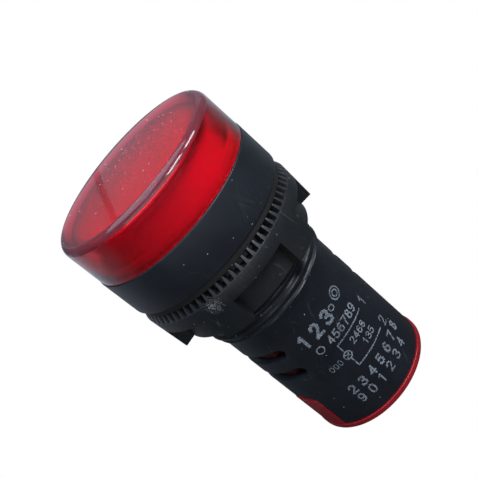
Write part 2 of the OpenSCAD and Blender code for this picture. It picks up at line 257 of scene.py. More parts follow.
def mesh_object(
    name: str, verts: Sequence[Point | Vector], faces: Sequence[Sequence[int]]
) -> bpy.types.Object:
    """Makes a linked mesh object from vertices and faces.

    Args:
        name: Name of the object and its mesh.
        verts: Vertex positions.
        faces: Vertex indices of each face.

    Returns:
        The new object, with its normals facing out.
    """
    mesh = bpy.data.meshes.new(name)
    mesh.from_pydata([tuple(v) for v in verts], [], faces)
    obj = bpy.data.objects.new(name, mesh)
    bpy.context.collection.objects.link(obj)
    edit_mesh(obj, lambda bm: bmesh.ops.recalc_face_normals(bm, faces=bm.faces[:]))
    return obj


def edit_mesh(obj: bpy.types.Object, edit: Callable[[bmesh.types.BMesh], object]) -> None:
    """Runs an edit on an object's mesh through bmesh.

    Args:
        obj: Object to change.
        edit: What is done to its mesh.
    """
    bm = bmesh.new()
    bm.from_mesh(obj.data)
    edit(bm)
    bm.to_mesh(obj.data)
    bm.free()


def shade(obj: bpy.types.Object, degrees: float = 35.0) -> bpy.types.Object:
    """Smooths an object's shading except over its sharp edges.

    Args:
        obj: Object to shade.
        degrees: Angle over which an edge stays sharp.

    Returns:
        The same object.
    """
    obj.data.polygons.foreach_set("use_smooth", [True] * len(obj.data.polygons))
    obj.data.set_sharp_from_angle(angle=math.radians(degrees))
    return obj


def rounded(corners: Sequence[tuple[float, float, float]], steps: int = 5) -> Outline:
    """Rounds the corners of an outline.

    Args:
        corners: Radius, height and fillet radius of each corner, in order.
        steps: Spans in each fillet.

    Returns:
        The outline with every fillet as an arc.
    """
    out: Outline = []
    count = len(corners)
    for i, (r, z, fillet) in enumerate(corners):
        here = Vector((r, z))
        before = Vector(corners[i - 1][:2]) - here
        after = Vector(corners[(i + 1) % count][:2]) - here
        if fillet <= 0 or before.length == 0 or after.length == 0:
            out.append((r, z))
            continue
        half = before.angle(after) / 2
        reach = min(fillet / math.tan(half), before.length * 0.49, after.length * 0.49)
        radius = reach * math.tan(half)
        centre = here + (before.normalized() + after.normalized()).normalized() * (
            radius / math.sin(half)
        )
        start = here + before.normalized() * reach - centre
        end = here + after.normalized() * reach - centre
        sweep = start.angle_signed(end)
        for step in range(steps + 1):
            turn = Matrix.Rotation(-sweep * step / steps, 2)
            point = centre + turn @ start
            out.append((max(point.x, 0.0), point.y))
    return out


def lathe(name: str, outline: Outline, segments: int = 192) -> bpy.types.Object:
    """Revolves a closed outline of radius and height about Z.

    Args:
        name: Name of the new object.
        outline: Closed outline; points on the axis become poles.
        segments: Number of columns round the axis.

    Returns:
        The revolved object.
    """
    columns = [(TURN * i / segments, outline) for i in range(segments)]
    return wrap_columns(name, columns)


def merge_points(bm: bmesh.types.BMesh) -> None:
    """Merges points that coincide and drops the faces that vanish with them.

    Args:
        bm: Mesh to clean.
    """
    bmesh.ops.remove_doubles(bm, verts=bm.verts[:], dist=MERGE_GAP)
    bmesh.ops.dissolve_degenerate(bm, edges=bm.edges[:], dist=MERGE_GAP)
    flat = [face for face in bm.faces if face.calc_area() < LEAST_AREA]
    bmesh.ops.delete(bm, geom=flat, context="FACES")
    bmesh.ops.recalc_face_normals(bm, faces=bm.faces[:])


def wrap_columns(name: str, columns: Sequence[tuple[float, Outline]]) -> bpy.types.Object:
    """Joins closed sections of equal length, one column after another, round Z.

    Args:
        name: Name of the new object.
        columns: Angle and closed section of each column; sections have equal counts.

    Returns:
        The closed object, with coincident points merged.
    """
    verts = []
    faces = []
    rows = len(columns[0][1])
    for angle, section in columns:
        ca, sa = math.cos(angle), math.sin(angle)
        verts.extend((r * ca, r * sa, z) for r, z in section)
    count = len(columns)
    for i in range(count):
        a, b = i * rows, ((i + 1) % count) * rows
        for j in range(rows):
            k = (j + 1) % rows
            faces.append((a + j, b + j, b + k, a + k))
    obj = mesh_object(name, verts, faces)
    edit_mesh(obj, merge_points)
    return obj


def prism(name: str, outline: Outline, length: float, place: Matrix) -> bpy.types.Object:
    """Extrudes a closed outline from its own XY plane along +Z, then places it.

    Args:
        name: Name of the new object.
        outline: Closed outline of x and y.
        length: Length of the prism.
        place: Where the outline's frame goes.

    Returns:
        The closed prism.
    """
    count = len(outline)
    verts = [place @ Vector((x, y, z)) for z in (0, length) for x, y in outline]
    faces = [tuple(range(count))[::-1], tuple(range(count, 2 * count))]
    for i in range(count):
        j = (i + 1) % count
        faces.append((i, j, count + j, count + i))
    return mesh_object(name, verts, faces)


def rounded_box(half_w: float, half_l: float, radius: float, steps: int = 6) -> Outline:
    """Gives the outline of a rectangle with rounded corners, centred on the origin.

    Args:
        half_w: Half of its width, along x.
        half_l: Half of its length, along y.
        radius: Radius of its corners.
        steps: Spans in each corner.

    Returns:
        The closed outline.
    """
    out: Outline = []
    for quarter, (sx, sy) in enumerate(((1, 1), (-1, 1), (-1, -1), (1, -1))):
        cx, cy = sx * (half_w - radius), sy * (half_l - radius)
        for step in range(steps + 1):
            a = RIGHT_ANGLE * (quarter + step / steps)
            out.append((cx + radius * math.cos(a), cy + radius * math.sin(a)))
    return out


def cut(obj: bpy.types.Object, cutters: Sequence[bpy.types.Object]) -> None:
    """Takes cutters out of an object and deletes them.

    Args:
        obj: Object to cut.
        cutters: Closed solids to take out of it.
    """
    for cutter in cutters:
        modifier = obj.modifiers.new("cut", "BOOLEAN")
        modifier.operation = "DIFFERENCE"
        modifier.solver = "EXACT"
        modifier.object = cutter
    apply_modifiers(obj)
    for cutter in cutters:
        mesh = cutter.data
        bpy.data.objects.remove(cutter)
        bpy.data.meshes.remove(mesh)


def apply_modifiers(obj: bpy.types.Object) -> None:
    """Bakes an object's modifiers into its mesh.

    Args:
        obj: Object whose modifiers are baked.
    """
    depsgraph = bpy.context.evaluated_depsgraph_get()
    evaluated = obj.evaluated_get(depsgraph)
    mesh = bpy.data.meshes.new_from_object(evaluated)
    old = obj.data
    obj.modifiers.clear()
    obj.data = mesh
    mesh.name = obj.name
    bpy.data.meshes.remove(old)


def thicken(obj: bpy.types.Object, depth: float) -> None:
    """Turns a sheet into a closed solid, from its outer face inwards.

    Args:
        obj: Sheet whose faces look outwards.
        depth: Thickness of the solid.
    """
    modifier = obj.modifiers.new("thickness", "SOLIDIFY")
    modifier.thickness = depth
    modifier.offset = -1.0
    apply_modifiers(obj)


def face_outwards(obj: bpy.types.Object, outward: Callable[[Vector], Vector]) -> None:
    """Turns every face of a sheet to its outer side.

    Args:
        obj: Sheet to turn.
        outward: Gives the outward direction at a point.
    """

    def edit(bm: bmesh.types.BMesh) -> None:
        """Flips the faces that look inwards.

        Args:
            bm: The sheet's mesh.
        """
        for face in bm.faces:
            face.normal_update()
            if face.normal.dot(outward(face.calc_center_median())) < 0:
                face.normal_flip()

    edit_mesh(obj, edit)


def bevel_sharp(
    obj: bpy.types.Object,
    width: float,
    degrees: float = 40.0,
    keep: Callable[[Vector], bool] = lambda point: True,
    segments: int = 2,
) -> None:
    """Rounds an object's sharp edges.

    Args:
        obj: Object to change.
        width: Width of the rounding.
        degrees: Least angle between the faces of an edge that is rounded.
        keep: Says whether an edge with this middle point is rounded.
        segments: Spans in the rounding.
    """

    def edit(bm: bmesh.types.BMesh) -> None:
        """Bevels the edges that are sharp and wanted.

        Args:
            bm: The object's mesh.
        """
        limit = math.radians(degrees)
        edges = [
            edge
            for edge in bm.edges
            if len(edge.link_faces) == 2
            and edge.calc_face_angle(0.0) > limit
            and keep((edge.verts[0].co + edge.verts[1].co) / 2)
        ]
        bmesh.ops.bevel(
            bm,
            geom=edges,
            offset=width,
            segments=segments,
            profile=BEVEL_PROFILE,
            affect="EDGES",
            clamp_overlap=True,
        )

    edit_mesh(obj, edit)


def join(name: str, parts: Sequence[bpy.types.Object]) -> bpy.types.Object:
    """Joins several objects into one mesh object.

    Args:
        name: Name of the new object.
        parts: Objects to join; they are deleted.

    Returns:
        The joined object.
    """
    verts: list[Vector] = []
    faces: list[tuple[int, ...]] = []
    for part in parts:
        base = len(verts)
        verts.extend(v.co.copy() for v in part.data.vertices)
        faces.extend(tuple(base + i for i in p.vertices) for p in part.data.polygons)
        mesh = part.data
        bpy.data.objects.remove(part)
        bpy.data.meshes.remove(mesh)
    return mesh_object(name, verts, faces)


# ---------------------------------------------------------------------------------------
# Finishes
# ---------------------------------------------------------------------------------------


@dataclass(frozen=True)
class Finish:
    """Look of one moulded or stamped material.

    Attributes:
        colour: Main colour.
        tint: Colour that the uneven patches drift to.
        roughness: Middle roughness.
        spread: How far the roughness drifts from the middle.
        grain: Direction of the fine texture.
        grain_scale: Grains per metre.
        bump: Height of the fine texture, in metres.
        dust: Share of the surface under dust specks.
        dust_colour: Colour of dust and scratches; scuffs are a darker tone of it.
        scratches: Strength of the light scratches.
        metallic: Metal share.
        specular: Specular level on the shader's own socket.
        coat: Clear coat weight.
        transmission: Transmission weight.
        ior: Refractive index.
        subsurface: Subsurface weight.
        absorption: Density of the dye inside, per metre.
        worn: Share of the surface that has rubbed off.
        scuffs: Place and radius of each scuffed spot, in millimetres.
    """

    colour: Colour
    tint: Colour
    roughness: float = 0.45
    spread: float = 0.1
    grain: Grain = Grain.EVEN
    grain_scale: float = 2500.0
    bump: float = 0.01 * MM
    dust: float = 0.0
    dust_colour: Colour = (0.55, 0.56, 0.58)
    scratches: float = 0.0
    metallic: float = 0.0
    specular: float = 0.5
    coat: float = 0.0
    transmission: float = 0.0
    ior: float = 1.49
    subsurface: float = 0.0
    absorption: float = 0.0
    worn: float = 0.0
    scuffs: tuple[tuple[float, float, float, float], ...] = ()


# Colour of the lens's dye, and of the light that clear pieces let into a shadow.
DYE: Colour = (0.86, 0.01, 0.18)
SHADOW_TINT: Colour = (0.95, 0.9, 0.9)

COAT_ROUGHNESS = 0.05
SCATTER_DEPTH = 1.5 * MM

# Tone of a scuff, as a share of the dust's colour.
SCUFF_TONE = 0.4

# How far worn ink fades below and above its worn share, and the least that is left of it.
WORN_EDGE = (0.12, 0.02)
THIN_INK = 0.25

FINISHES: dict[str, Finish] = {
    "black_moulding": Finish(
        (0.009, 0.0115, 0.016), (0.013, 0.017, 0.023), 0.40, 0.12,
        bump=0.006 * MM, dust=0.40, scratches=0.08,
    ),
    "black_nut": Finish(
        (0.009, 0.0115, 0.015), (0.015, 0.016, 0.0155), 0.44, 0.14,
        bump=0.007 * MM, dust=0.40, scratches=0.15,
        scuffs=((-10.1, -10.2, -3.2, 1.5),),
    ),
    # Paler tooth ends of the nut: partly wear, partly a painted highlight on the slopes
    # that face the light from above.
    "black_worn": Finish(
        (0.033, 0.037, 0.042), (0.013, 0.015, 0.018), 0.36, 0.12,
        bump=0.007 * MM, dust=0.4, scratches=0.2,
    ),
    "gasket_rubber": Finish(
        (0.006, 0.0065, 0.007), (0.011, 0.011, 0.011), 0.72, 0.1,
        bump=0.02 * MM, grain_scale=1800.0, dust=0.25,
    ),
    "red_lens": Finish(
        (1.0, 0.90, 0.92), (0.97, 0.85, 0.88), 0.30, 0.05,
        bump=0.0008 * MM, grain_scale=900.0, coat=1.0,
        transmission=1.0, ior=1.10, absorption=640.0,
    ),
    # Painted shade: a dark mauve tone on the lens's rounded edge, for the dark inside seen
    # through it there.
    "lens_edge": Finish(
        (0.15, 0.035, 0.045), (0.22, 0.030, 0.045), 0.45, 0.1,
        bump=0.001 * MM, grain_scale=900.0, coat=1.0, transmission=0.45, ior=1.10,
    ),
    "lens_foot": Finish(
        (0.72, 0.0001, 0.070), (0.80, 0.0002, 0.082), 0.6, 0.1,
        bump=0.001 * MM, grain_scale=900.0, specular=0.0,
    ),
    "dust_flake": Finish((0.85, 0.78, 0.79), (0.65, 0.50, 0.52), 0.8, 0.1),
    "red_diffuser": Finish(
        (0.78, 0.0001, 0.066), (0.86, 0.0002, 0.080), 0.7, 0.06,
        bump=0.004 * MM, grain_scale=1500.0, specular=0.0,
    ),
    # Painted shade: a darker copy of the cup's red for its side.
    "cup_skirt": Finish(
        (0.56, 0.0001, 0.058), (0.64, 0.0002, 0.068), 0.7, 0.06,
        bump=0.004 * MM, grain_scale=1500.0, specular=0.0,
    ),
    "red_block": Finish(
        (0.30, 0.008, 0.014), (0.38, 0.016, 0.022), 0.33, 0.1,
        bump=0.005 * MM, dust=0.2, scratches=0.3,
    ),
    # Painted shade: a near-black copy of the block's red for its faces inside the barrel;
    # its specks are dust.
    "red_inner": Finish(
        (0.022, 0.0015, 0.002), (0.04, 0.002, 0.003), 0.55, 0.1,
        bump=0.005 * MM, dust=0.3,
    ),
    "terminal_brass": Finish(
        (0.62, 0.43, 0.16), (0.45, 0.30, 0.12), 0.34, 0.14, Grain.AXIAL,
        bump=0.004 * MM, metallic=1.0,
    ),
    "plated_steel": Finish(
        (0.60, 0.61, 0.62), (0.46, 0.47, 0.49), 0.33, 0.12, Grain.AXIAL,
        bump=0.004 * MM, metallic=1.0,
    ),
    "screw_steel": Finish(
        (0.57, 0.58, 0.60), (0.42, 0.43, 0.45), 0.28, 0.12, Grain.TURNED,
        bump=0.004 * MM, metallic=1.0, scratches=0.2,
    ),
    "lamp_board": Finish((0.72, 0.71, 0.67), (0.62, 0.61, 0.56), 0.42, 0.08),
    "lamp_dome": Finish(
        (0.62, 0.02, 0.03), (0.72, 0.05, 0.06), 0.10, 0.03,
        bump=0.0005 * MM, subsurface=0.3,
    ),
    "driver_laminate": Finish((0.02, 0.13, 0.05), (0.03, 0.17, 0.07), 0.34, 0.08),
    "pin_brass": Finish((0.70, 0.62, 0.40), (0.55, 0.47, 0.28), 0.30, 0.1, metallic=1.0),
    "film_case": Finish((0.50, 0.27, 0.04), (0.57, 0.33, 0.06), 0.30, 0.08),
    "can_sleeve": Finish((0.02, 0.03, 0.10), (0.03, 0.05, 0.13), 0.26, 0.06),
    "package_black": Finish((0.022, 0.022, 0.024), (0.035, 0.035, 0.037), 0.55, 0.1),
    "resistor_tan": Finish((0.50, 0.36, 0.21), (0.58, 0.43, 0.26), 0.40, 0.1),
    "resistor_blue": Finish((0.16, 0.33, 0.50), (0.20, 0.39, 0.57), 0.36, 0.1),
    "print_ink": Finish(
        (0.27, 0.30, 0.34), (0.16, 0.18, 0.21), 0.55, 0.1,
        bump=0.004 * MM, grain_scale=4000.0, worn=0.5,
    ),
}


# ---------------------------------------------------------------------------------------
# Shader nodes
# ---------------------------------------------------------------------------------------


@dataclass
class NodeTree:
    """Short way to add and link nodes in a shader tree.

    Attributes:
        tree: The node tree that it works on.
    """

    tree: bpy.types.NodeTree

    def add(
        self, kind: str, inputs: dict[str | int, object] | None = None, **props: object
    ) -> bpy.types.Node:
        """Adds a node, sets its properties and sets or links its inputs.

        Args:
            kind: Node type name.
            inputs: Socket name or index to a value or an output socket.
            **props: Node properties.

        Returns:
            The new node.
        """
        node = self.tree.nodes.new(kind)
        for name, value in props.items():
            setattr(node, name, value)
        for key, value in (inputs or {}).items():
            self.feed(node.inputs[key], value)
        return node

    def feed(self, socket: bpy.types.NodeSocket, value: object) -> None:
        """Links or sets an input socket.

        Args:
            socket: Input to feed.
            value: Output socket to link to it, or the value to set.
        """
        if isinstance(value, bpy.types.NodeSocket):
            self.tree.links.new(value, socket)
        else:
            socket.default_value = value

    def math(
        self, operation: str, a: Factor, b: Factor = 0.0, clamp: bool = False
    ) -> bpy.types.NodeSocket:
        """Adds a math node.

        Args:
            operation: Name of the operation.
            a: First number.
            b: Second number.
            clamp: Whether the result stays between 0 and 1.

        Returns:
            The node's output.
        """
        node = self.add("ShaderNodeMath", {0: a, 1: b}, operation=operation)
        node.use_clamp = clamp
        return node.outputs[0]

    def vector_math(self, operation: str, a: object, b: object) -> bpy.types.Node:
        """Adds a vector math node of two vectors and returns the node."""
        return self.add("ShaderNodeVectorMath", {0: a, 1: b}, operation=operation)

    def ramp(self, factor: Factor, low: float, high: float) -> bpy.types.NodeSocket:
        """Maps a factor to 0 at one end and 1 at the other, clamped.

        Args:
            factor: Number to map.
            low: Where the result is 0.
            high: Where the result is 1.

        Returns:
            The mapped number.
        """
        ends = {"Value": factor, "From Min": low, "From Max": high}
        return self.add("ShaderNodeMapRange", ends, clamp=True).outputs["Result"]

    def noise(
        self, place: bpy.types.NodeSocket, scale: Factor, detail: float
    ) -> bpy.types.NodeSocket:
        """Adds a noise texture.

        Args:
            place: Position that it is read at.
            scale: Patches per metre.
            detail: Number of finer layers.

        Returns:
            The noise, about 0.5 in the middle.
        """
        ins = {"Vector": place, "Scale": scale, "Detail": detail}
        return self.add("ShaderNodeTexNoise", ins).outputs["Fac"]

    def mix(self, factor: Factor, a: Tone, b: Tone) -> bpy.types.NodeSocket:
        """Mixes two colours.

        Args:
            factor: Share of the second colour.
            a: First colour.
            b: Second colour.

        Returns:
            The mixed colour.
        """
        a, b = (c if isinstance(c, bpy.types.NodeSocket) else (*c, 1.0) for c in (a, b))
        node = self.add("ShaderNodeMix", data_type="RGBA")
        for place, value in ((0, factor), (6, a), (7, b)):
            self.feed(node.inputs[place], value)
        return node.outputs[2]


def group_tree(
    name: str, ins: dict[str, float], outs: Sequence[str]
) -> tuple[NodeTree, dict[str, bpy.types.NodeSocket], bpy.types.Node]:
    """Makes an empty shader group.

    Args:
        name: Name of the group.
        ins: Input names with their defaults.
        outs: Output names.

    Returns:
        The tree, its input sockets by name and its output node.
    """
    tree = bpy.data.node_groups.new(name, "ShaderNodeTree")
    number = "NodeSocketFloat"
    for title, value in ins.items():
        socket = tree.interface.new_socket(title, in_out="INPUT", socket_type=number)
        socket.default_value = value
    for title in outs:
        tree.interface.new_socket(title, in_out="OUTPUT", socket_type=number)
    nodes = NodeTree(tree)
    inlet = nodes.add("NodeGroupInput")
    outlet = nodes.add("NodeGroupOutput")
    return nodes, {title: inlet.outputs[title] for title in ins}, outlet


def build_grain_group() -> bpy.types.NodeTree:
    """Builds the shared fine texture: patches of colour, roughness drift and height.

    Returns:
        The node group.
    """
    patch_scale = 0.07
    nodes, ins, outlet = group_tree(
        "fine_grain",
        {"Scale": 2500.0, "Across": 1.0, "Along": 1.0},
        ("Patch", "Drift", "Height"),
    )
    place = nodes.add("ShaderNodeTexCoord").outputs["Object"]
    across, along = ins["Across"], ins["Along"]
    stretch = nodes.add("ShaderNodeCombineXYZ", {"X": across, "Y": across, "Z": along})
    spot = nodes.vector_math("MULTIPLY", place, stretch.outputs[0]).outputs[0]
    fine = nodes.noise(spot, ins["Scale"], 3.0)
    patch = nodes.noise(spot, nodes.math("MULTIPLY", ins["Scale"], patch_scale), 4.0)
    nodes.feed(outlet.inputs["Patch"], nodes.ramp(patch, 0.35, 0.7))
    nodes.feed(outlet.inputs["Drift"], nodes.math("SUBTRACT", patch, 0.5))
    nodes.feed(outlet.inputs["Height"], fine)
    return nodes.tree


def dust_specks(nodes: NodeTree, place: bpy.types.NodeSocket, dust: Factor) -> Factor:
    """Adds round specks of dust, some of the cells of a cell texture.

    Args:
        nodes: Tree that they are added to.
        place: Position on the surface.
        dust: Share of the surface under dust.

    Returns:
        Mask of the specks.
    """
    specks_per_metre, cells_used = 1700.0, 0.12
    ins = {"Vector": place, "Scale": specks_per_metre, "Randomness": 1.0}
    cells = nodes.add("ShaderNodeTexVoronoi", ins)
    lot = nodes.add("ShaderNodeTexWhiteNoise", {"Vector": cells.outputs["Position"]})
    share = nodes.math("MULTIPLY", dust, cells_used)
    chosen = nodes.math("LESS_THAN", lot.outputs["Value"], share)
    near = nodes.ramp(cells.outputs["Distance"], 0.16, 0.05)
    return nodes.math("MULTIPLY", chosen, near)


def scratch_lines(
    nodes: NodeTree, place: bpy.types.NodeSocket, scale: float, along: float, turn: float
) -> Factor:
    """Adds thin scratches in patches, all in about one direction.

    Args:
        nodes: Tree that they are added to.
        place: Position on the surface.
        scale: Patches of scratches per metre.
        along: Stretch along a scratch.
        turn: Angle of the scratches about Y.

    Returns:
        Mask of the scratches.
    """
    spun = nodes.add(
        "ShaderNodeVectorRotate",
        {"Vector": place, "Axis": (0.0, 1.0, 0.0), "Angle": turn},
        rotation_type="AXIS_ANGLE",
    ).outputs[0]
    drawn = nodes.vector_math("MULTIPLY", spun, (1.0, 1.0, along)).outputs[0]
    away = nodes.math("SUBTRACT", nodes.noise(drawn, scale * 4, 0.0), 0.5)
    thin = nodes.ramp(nodes.math("ABSOLUTE", away), 0.006, 0.001)
    patches = nodes.ramp(nodes.noise(place, scale, 2.0), 0.54, 0.66)
    return nodes.math("MULTIPLY", thin, patches)


def build_wear_group() -> bpy.types.NodeTree:
    """Builds the shared wear: a mask of dust specks and scratches, and their roughness.

    Returns:
        The node group.
    """
    roughening = 0.3
    nodes, ins, outlet = group_tree(
        "dust_and_scratches", {"Dust": 0.3, "Scratches": 0.5}, ("Mask", "Rough")
    )
    place = nodes.add("ShaderNodeTexCoord").outputs["Object"]
    dust = dust_specks(nodes, place, ins["Dust"])
    one = scratch_lines(nodes, place, 260.0, 0.05, 0.3)
    other = scratch_lines(nodes, place, 210.0, 0.04, -0.5)
    lines = nodes.math("ADD", one, other, clamp=True)
    scratches = nodes.math("MULTIPLY", lines, ins["Scratches"])
    mask = nodes.math("ADD", dust, scratches, clamp=True)
    nodes.feed(outlet.inputs["Mask"], mask)
    nodes.feed(outlet.inputs["Rough"], nodes.math("MULTIPLY", mask, roughening))
    return nodes.tree


def build_scuff_group() -> bpy.types.NodeTree:
    """Builds the shared scuff: a speckled light patch, densest at its middle.

    Returns:
        The node group.
    """
    speckles_per_metre, lift = 5500.0, 0.16
    nodes, ins, outlet = group_tree(
        "scuffed_spot", {"X": 0.0, "Y": 0.0, "Z": 0.0, "Radius": MM}, ("Mask",)
    )
    place = nodes.add("ShaderNodeTexCoord").outputs["Object"]
    centre = nodes.add("ShaderNodeCombineXYZ", {axis: ins[axis] for axis in "XYZ"})
    away = nodes.vector_math("DISTANCE", place, centre.outputs[0]).outputs["Value"]
    share = nodes.math("DIVIDE", away, ins["Radius"])
    rise = nodes.math("MULTIPLY", nodes.ramp(share, 1.0, 0.2), lift)
    level = nodes.math("ADD", nodes.noise(place, speckles_per_metre, 2.0), rise)
    inside = nodes.math("LESS_THAN", share, 1.0)
    mask = nodes.math("MULTIPLY", nodes.ramp(level, 0.60, 0.72), inside)
    nodes.feed(outlet.inputs["Mask"], mask)
    return nodes.tree


class MaterialShop:
    """Makes each finish once and hands it out by name."""

    def __init__(self, finishes: dict[str, Finish]) -> None:
        """Builds the shared node groups.

        Args:
            finishes: Every finish by name.
        """
        self.finishes = finishes
        self.made: dict[str, bpy.types.Material] = {}
        self.grain = build_grain_group()
        self.wear = build_wear_group()
        self.scuff = build_scuff_group()

    def get(self, name: str) -> bpy.types.Material:
        """Gives the material of a finish, made at the first call.

        Args:
            name: Name of the finish.

        Returns:
            Its material.
        """
        if name not in self.made:
            self.made[name] = self.build(name, self.finishes[name])
        return self.made[name]

    def build(self, name: str, look: Finish) -> bpy.types.Material:
        """Builds the procedural material of one finish.

        Args:
            name: Name of the finish.
            look: The finish.

        Returns:
            The new material.
        """
        material = bpy.data.materials.new(f"look_{name}")
        material.use_nodes = True
        nodes = NodeTree(material.node_tree)
        shader = material.node_tree.nodes["Principled BSDF"]
        self.set_constants(shader, look)
        grain = nodes.add(
            "ShaderNodeGroup",
            {
                "Scale": look.grain_scale,
                "Across": look.grain.value[0],
                "Along": look.grain.value[1],
            },
            node_tree=self.grain,
        )
        colour, rough = self.worn_surface(nodes, look, grain)
        height = grain.outputs["Height"]
        bump = nodes.add(
            "ShaderNodeBump", {"Height": height, "Strength": 1.0, "Distance": look.bump}
        )
        nodes.feed(shader.inputs["Base Color"], colour)
        nodes.feed(shader.inputs["Roughness"], rough)
        nodes.feed(shader.inputs["Normal"], bump.outputs["Normal"])
        if look.worn > 0:
            kept = nodes.ramp(height, look.worn - WORN_EDGE[0], look.worn + WORN_EDGE[1])
            cover = nodes.math("ADD", nodes.math("MULTIPLY", kept, 1 - THIN_INK), THIN_INK)
            nodes.feed(shader.inputs["Alpha"], cover)
        if look.transmission > 0:
            self.let_light_through(nodes, shader, look.absorption)
        return material

    @staticmethod
    def set_constants(shader: bpy.types.Node, look: Finish) -> None:
        """Sets the sockets that are the same all over the surface.

        Args:
            shader: The material's main shader.
            look: The finish.
        """
        constants = {
            "Metallic": look.metallic,
            "Specular IOR Level": look.specular,
            "Coat Weight": look.coat,
            "Coat Roughness": COAT_ROUGHNESS,
            "Transmission Weight": look.transmission,
            "IOR": look.ior,
            "Subsurface Weight": look.subsurface,
            "Subsurface Scale": SCATTER_DEPTH,
        }
        for socket, value in constants.items():
            shader.inputs[socket].default_value = value

    def worn_surface(
        self, nodes: NodeTree, look: Finish, grain: bpy.types.Node
    ) -> tuple[bpy.types.NodeSocket, bpy.types.NodeSocket]:
        """Adds the uneven colour and roughness, with dust, scratches and scuffs.

        Args:
            nodes: The material's tree.
            look: The finish.
            grain: The material's fine texture.

        Returns:
            Colour and roughness of the surface.
        """
        colour = nodes.mix(grain.outputs["Patch"], look.colour, look.tint)
        drift = nodes.math("MULTIPLY", grain.outputs["Drift"], 2 * look.spread)
        rough = nodes.math("ADD", drift, look.roughness, clamp=True)
        if look.dust > 0 or look.scratches > 0:
            strengths = {"Dust": look.dust, "Scratches": look.scratches}
            wear = nodes.add("ShaderNodeGroup", strengths, node_tree=self.wear)
            colour = nodes.mix(wear.outputs["Mask"], colour, look.dust_colour)
            rough = nodes.math("ADD", rough, wear.outputs["Rough"], clamp=True)
        tone = tuple(SCUFF_TONE * c for c in look.dust_colour)
        for numbers in look.scuffs:
            ins = {key: n * MM for key, n in zip(("X", "Y", "Z", "Radius"), numbers)}
            scuff = nodes.add("ShaderNodeGroup", ins, node_tree=self.scuff)
            colour = nodes.mix(scuff.outputs["Mask"], colour, tone)
        return colour, rough

    @staticmethod
    def let_light_through(
        nodes: NodeTree, shader: bpy.types.Node, absorption: float
    ) -> None:
        """Lets shadow rays through a clear material and dyes its inside.

        Args:
            nodes: The material's tree.
            shader: The material's main shader.
            absorption: Density of the dye, 0 for none.
        """
        out = nodes.tree.nodes["Material Output"]
        if absorption > 0:
            dye = nodes.add(
                "ShaderNodeVolumeAbsorption", {"Color": (*DYE, 1.0), "Density": absorption}
            )
            nodes.feed(out.inputs["Volume"], dye.outputs[0])
        path = nodes.add("ShaderNodeLightPath")
        clear = nodes.add("ShaderNodeBsdfTransparent", {"Color": (*SHADOW_TINT, 1.0)})
        shaded = nodes.add(
            "ShaderNodeMixShader",
            {0: path.outputs["Is Shadow Ray"], 1: shader.outputs[0], 2: clear.outputs[0]},
        )
        nodes.feed(out.inputs["Surface"], shaded.outputs[0])

    def dress(self, obj: bpy.types.Object, name: str) -> None:
        """Gives every slot of an object one finish."""
        obj.data.materials.clear()
        obj.data.materials.append(self.get(name))


# ---------------------------------------------------------------------------------------
# Sub-assemblies
# ---------------------------------------------------------------------------------------


@dataclass
class Assembly:
    """A group of pieces that share sizes and finishes.

    Attributes:
        sizes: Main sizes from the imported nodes.
        shop: Where finishes come from.
        pieces: Pieces made so far.
    """

    sizes: Sizes
    shop: MaterialShop
    pieces: list[bpy.types.Object] = field(default_factory=list)

    def place(
        self,
        piece: bpy.types.Object,
        body: Body,
        finish: str,
        replaced: Sequence[str] = (),
        slot: str = "",
    ) -> bpy.types.Object:
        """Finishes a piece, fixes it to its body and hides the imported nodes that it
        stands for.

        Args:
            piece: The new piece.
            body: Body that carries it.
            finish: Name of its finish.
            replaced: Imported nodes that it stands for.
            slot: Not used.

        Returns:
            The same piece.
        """
        self.shop.dress(piece, finish)
        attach(piece, body.value)
        for node in replaced:
            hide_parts(node)
        self.pieces.append(piece)
        LOG.info("%s: %d faces", piece.name, len(piece.data.polygons))
        return piece

    def dress_faces(
        self,
        piece: bpy.types.Object,
        finish: str,
        chosen: Callable[[bpy.types.MeshPolygon], bool],
    ) -> None:
        """Gives some faces of a placed piece a finish of their own.

        Args:
            piece: The piece.
            finish: Name of the second finish.
            chosen: Says whether a face gets it.
        """
        piece.data.materials.append(self.shop.get(finish))
        index = len(piece.data.materials) - 1
        for face in piece.data.polygons:
            if chosen(face):
                face.material_index = index


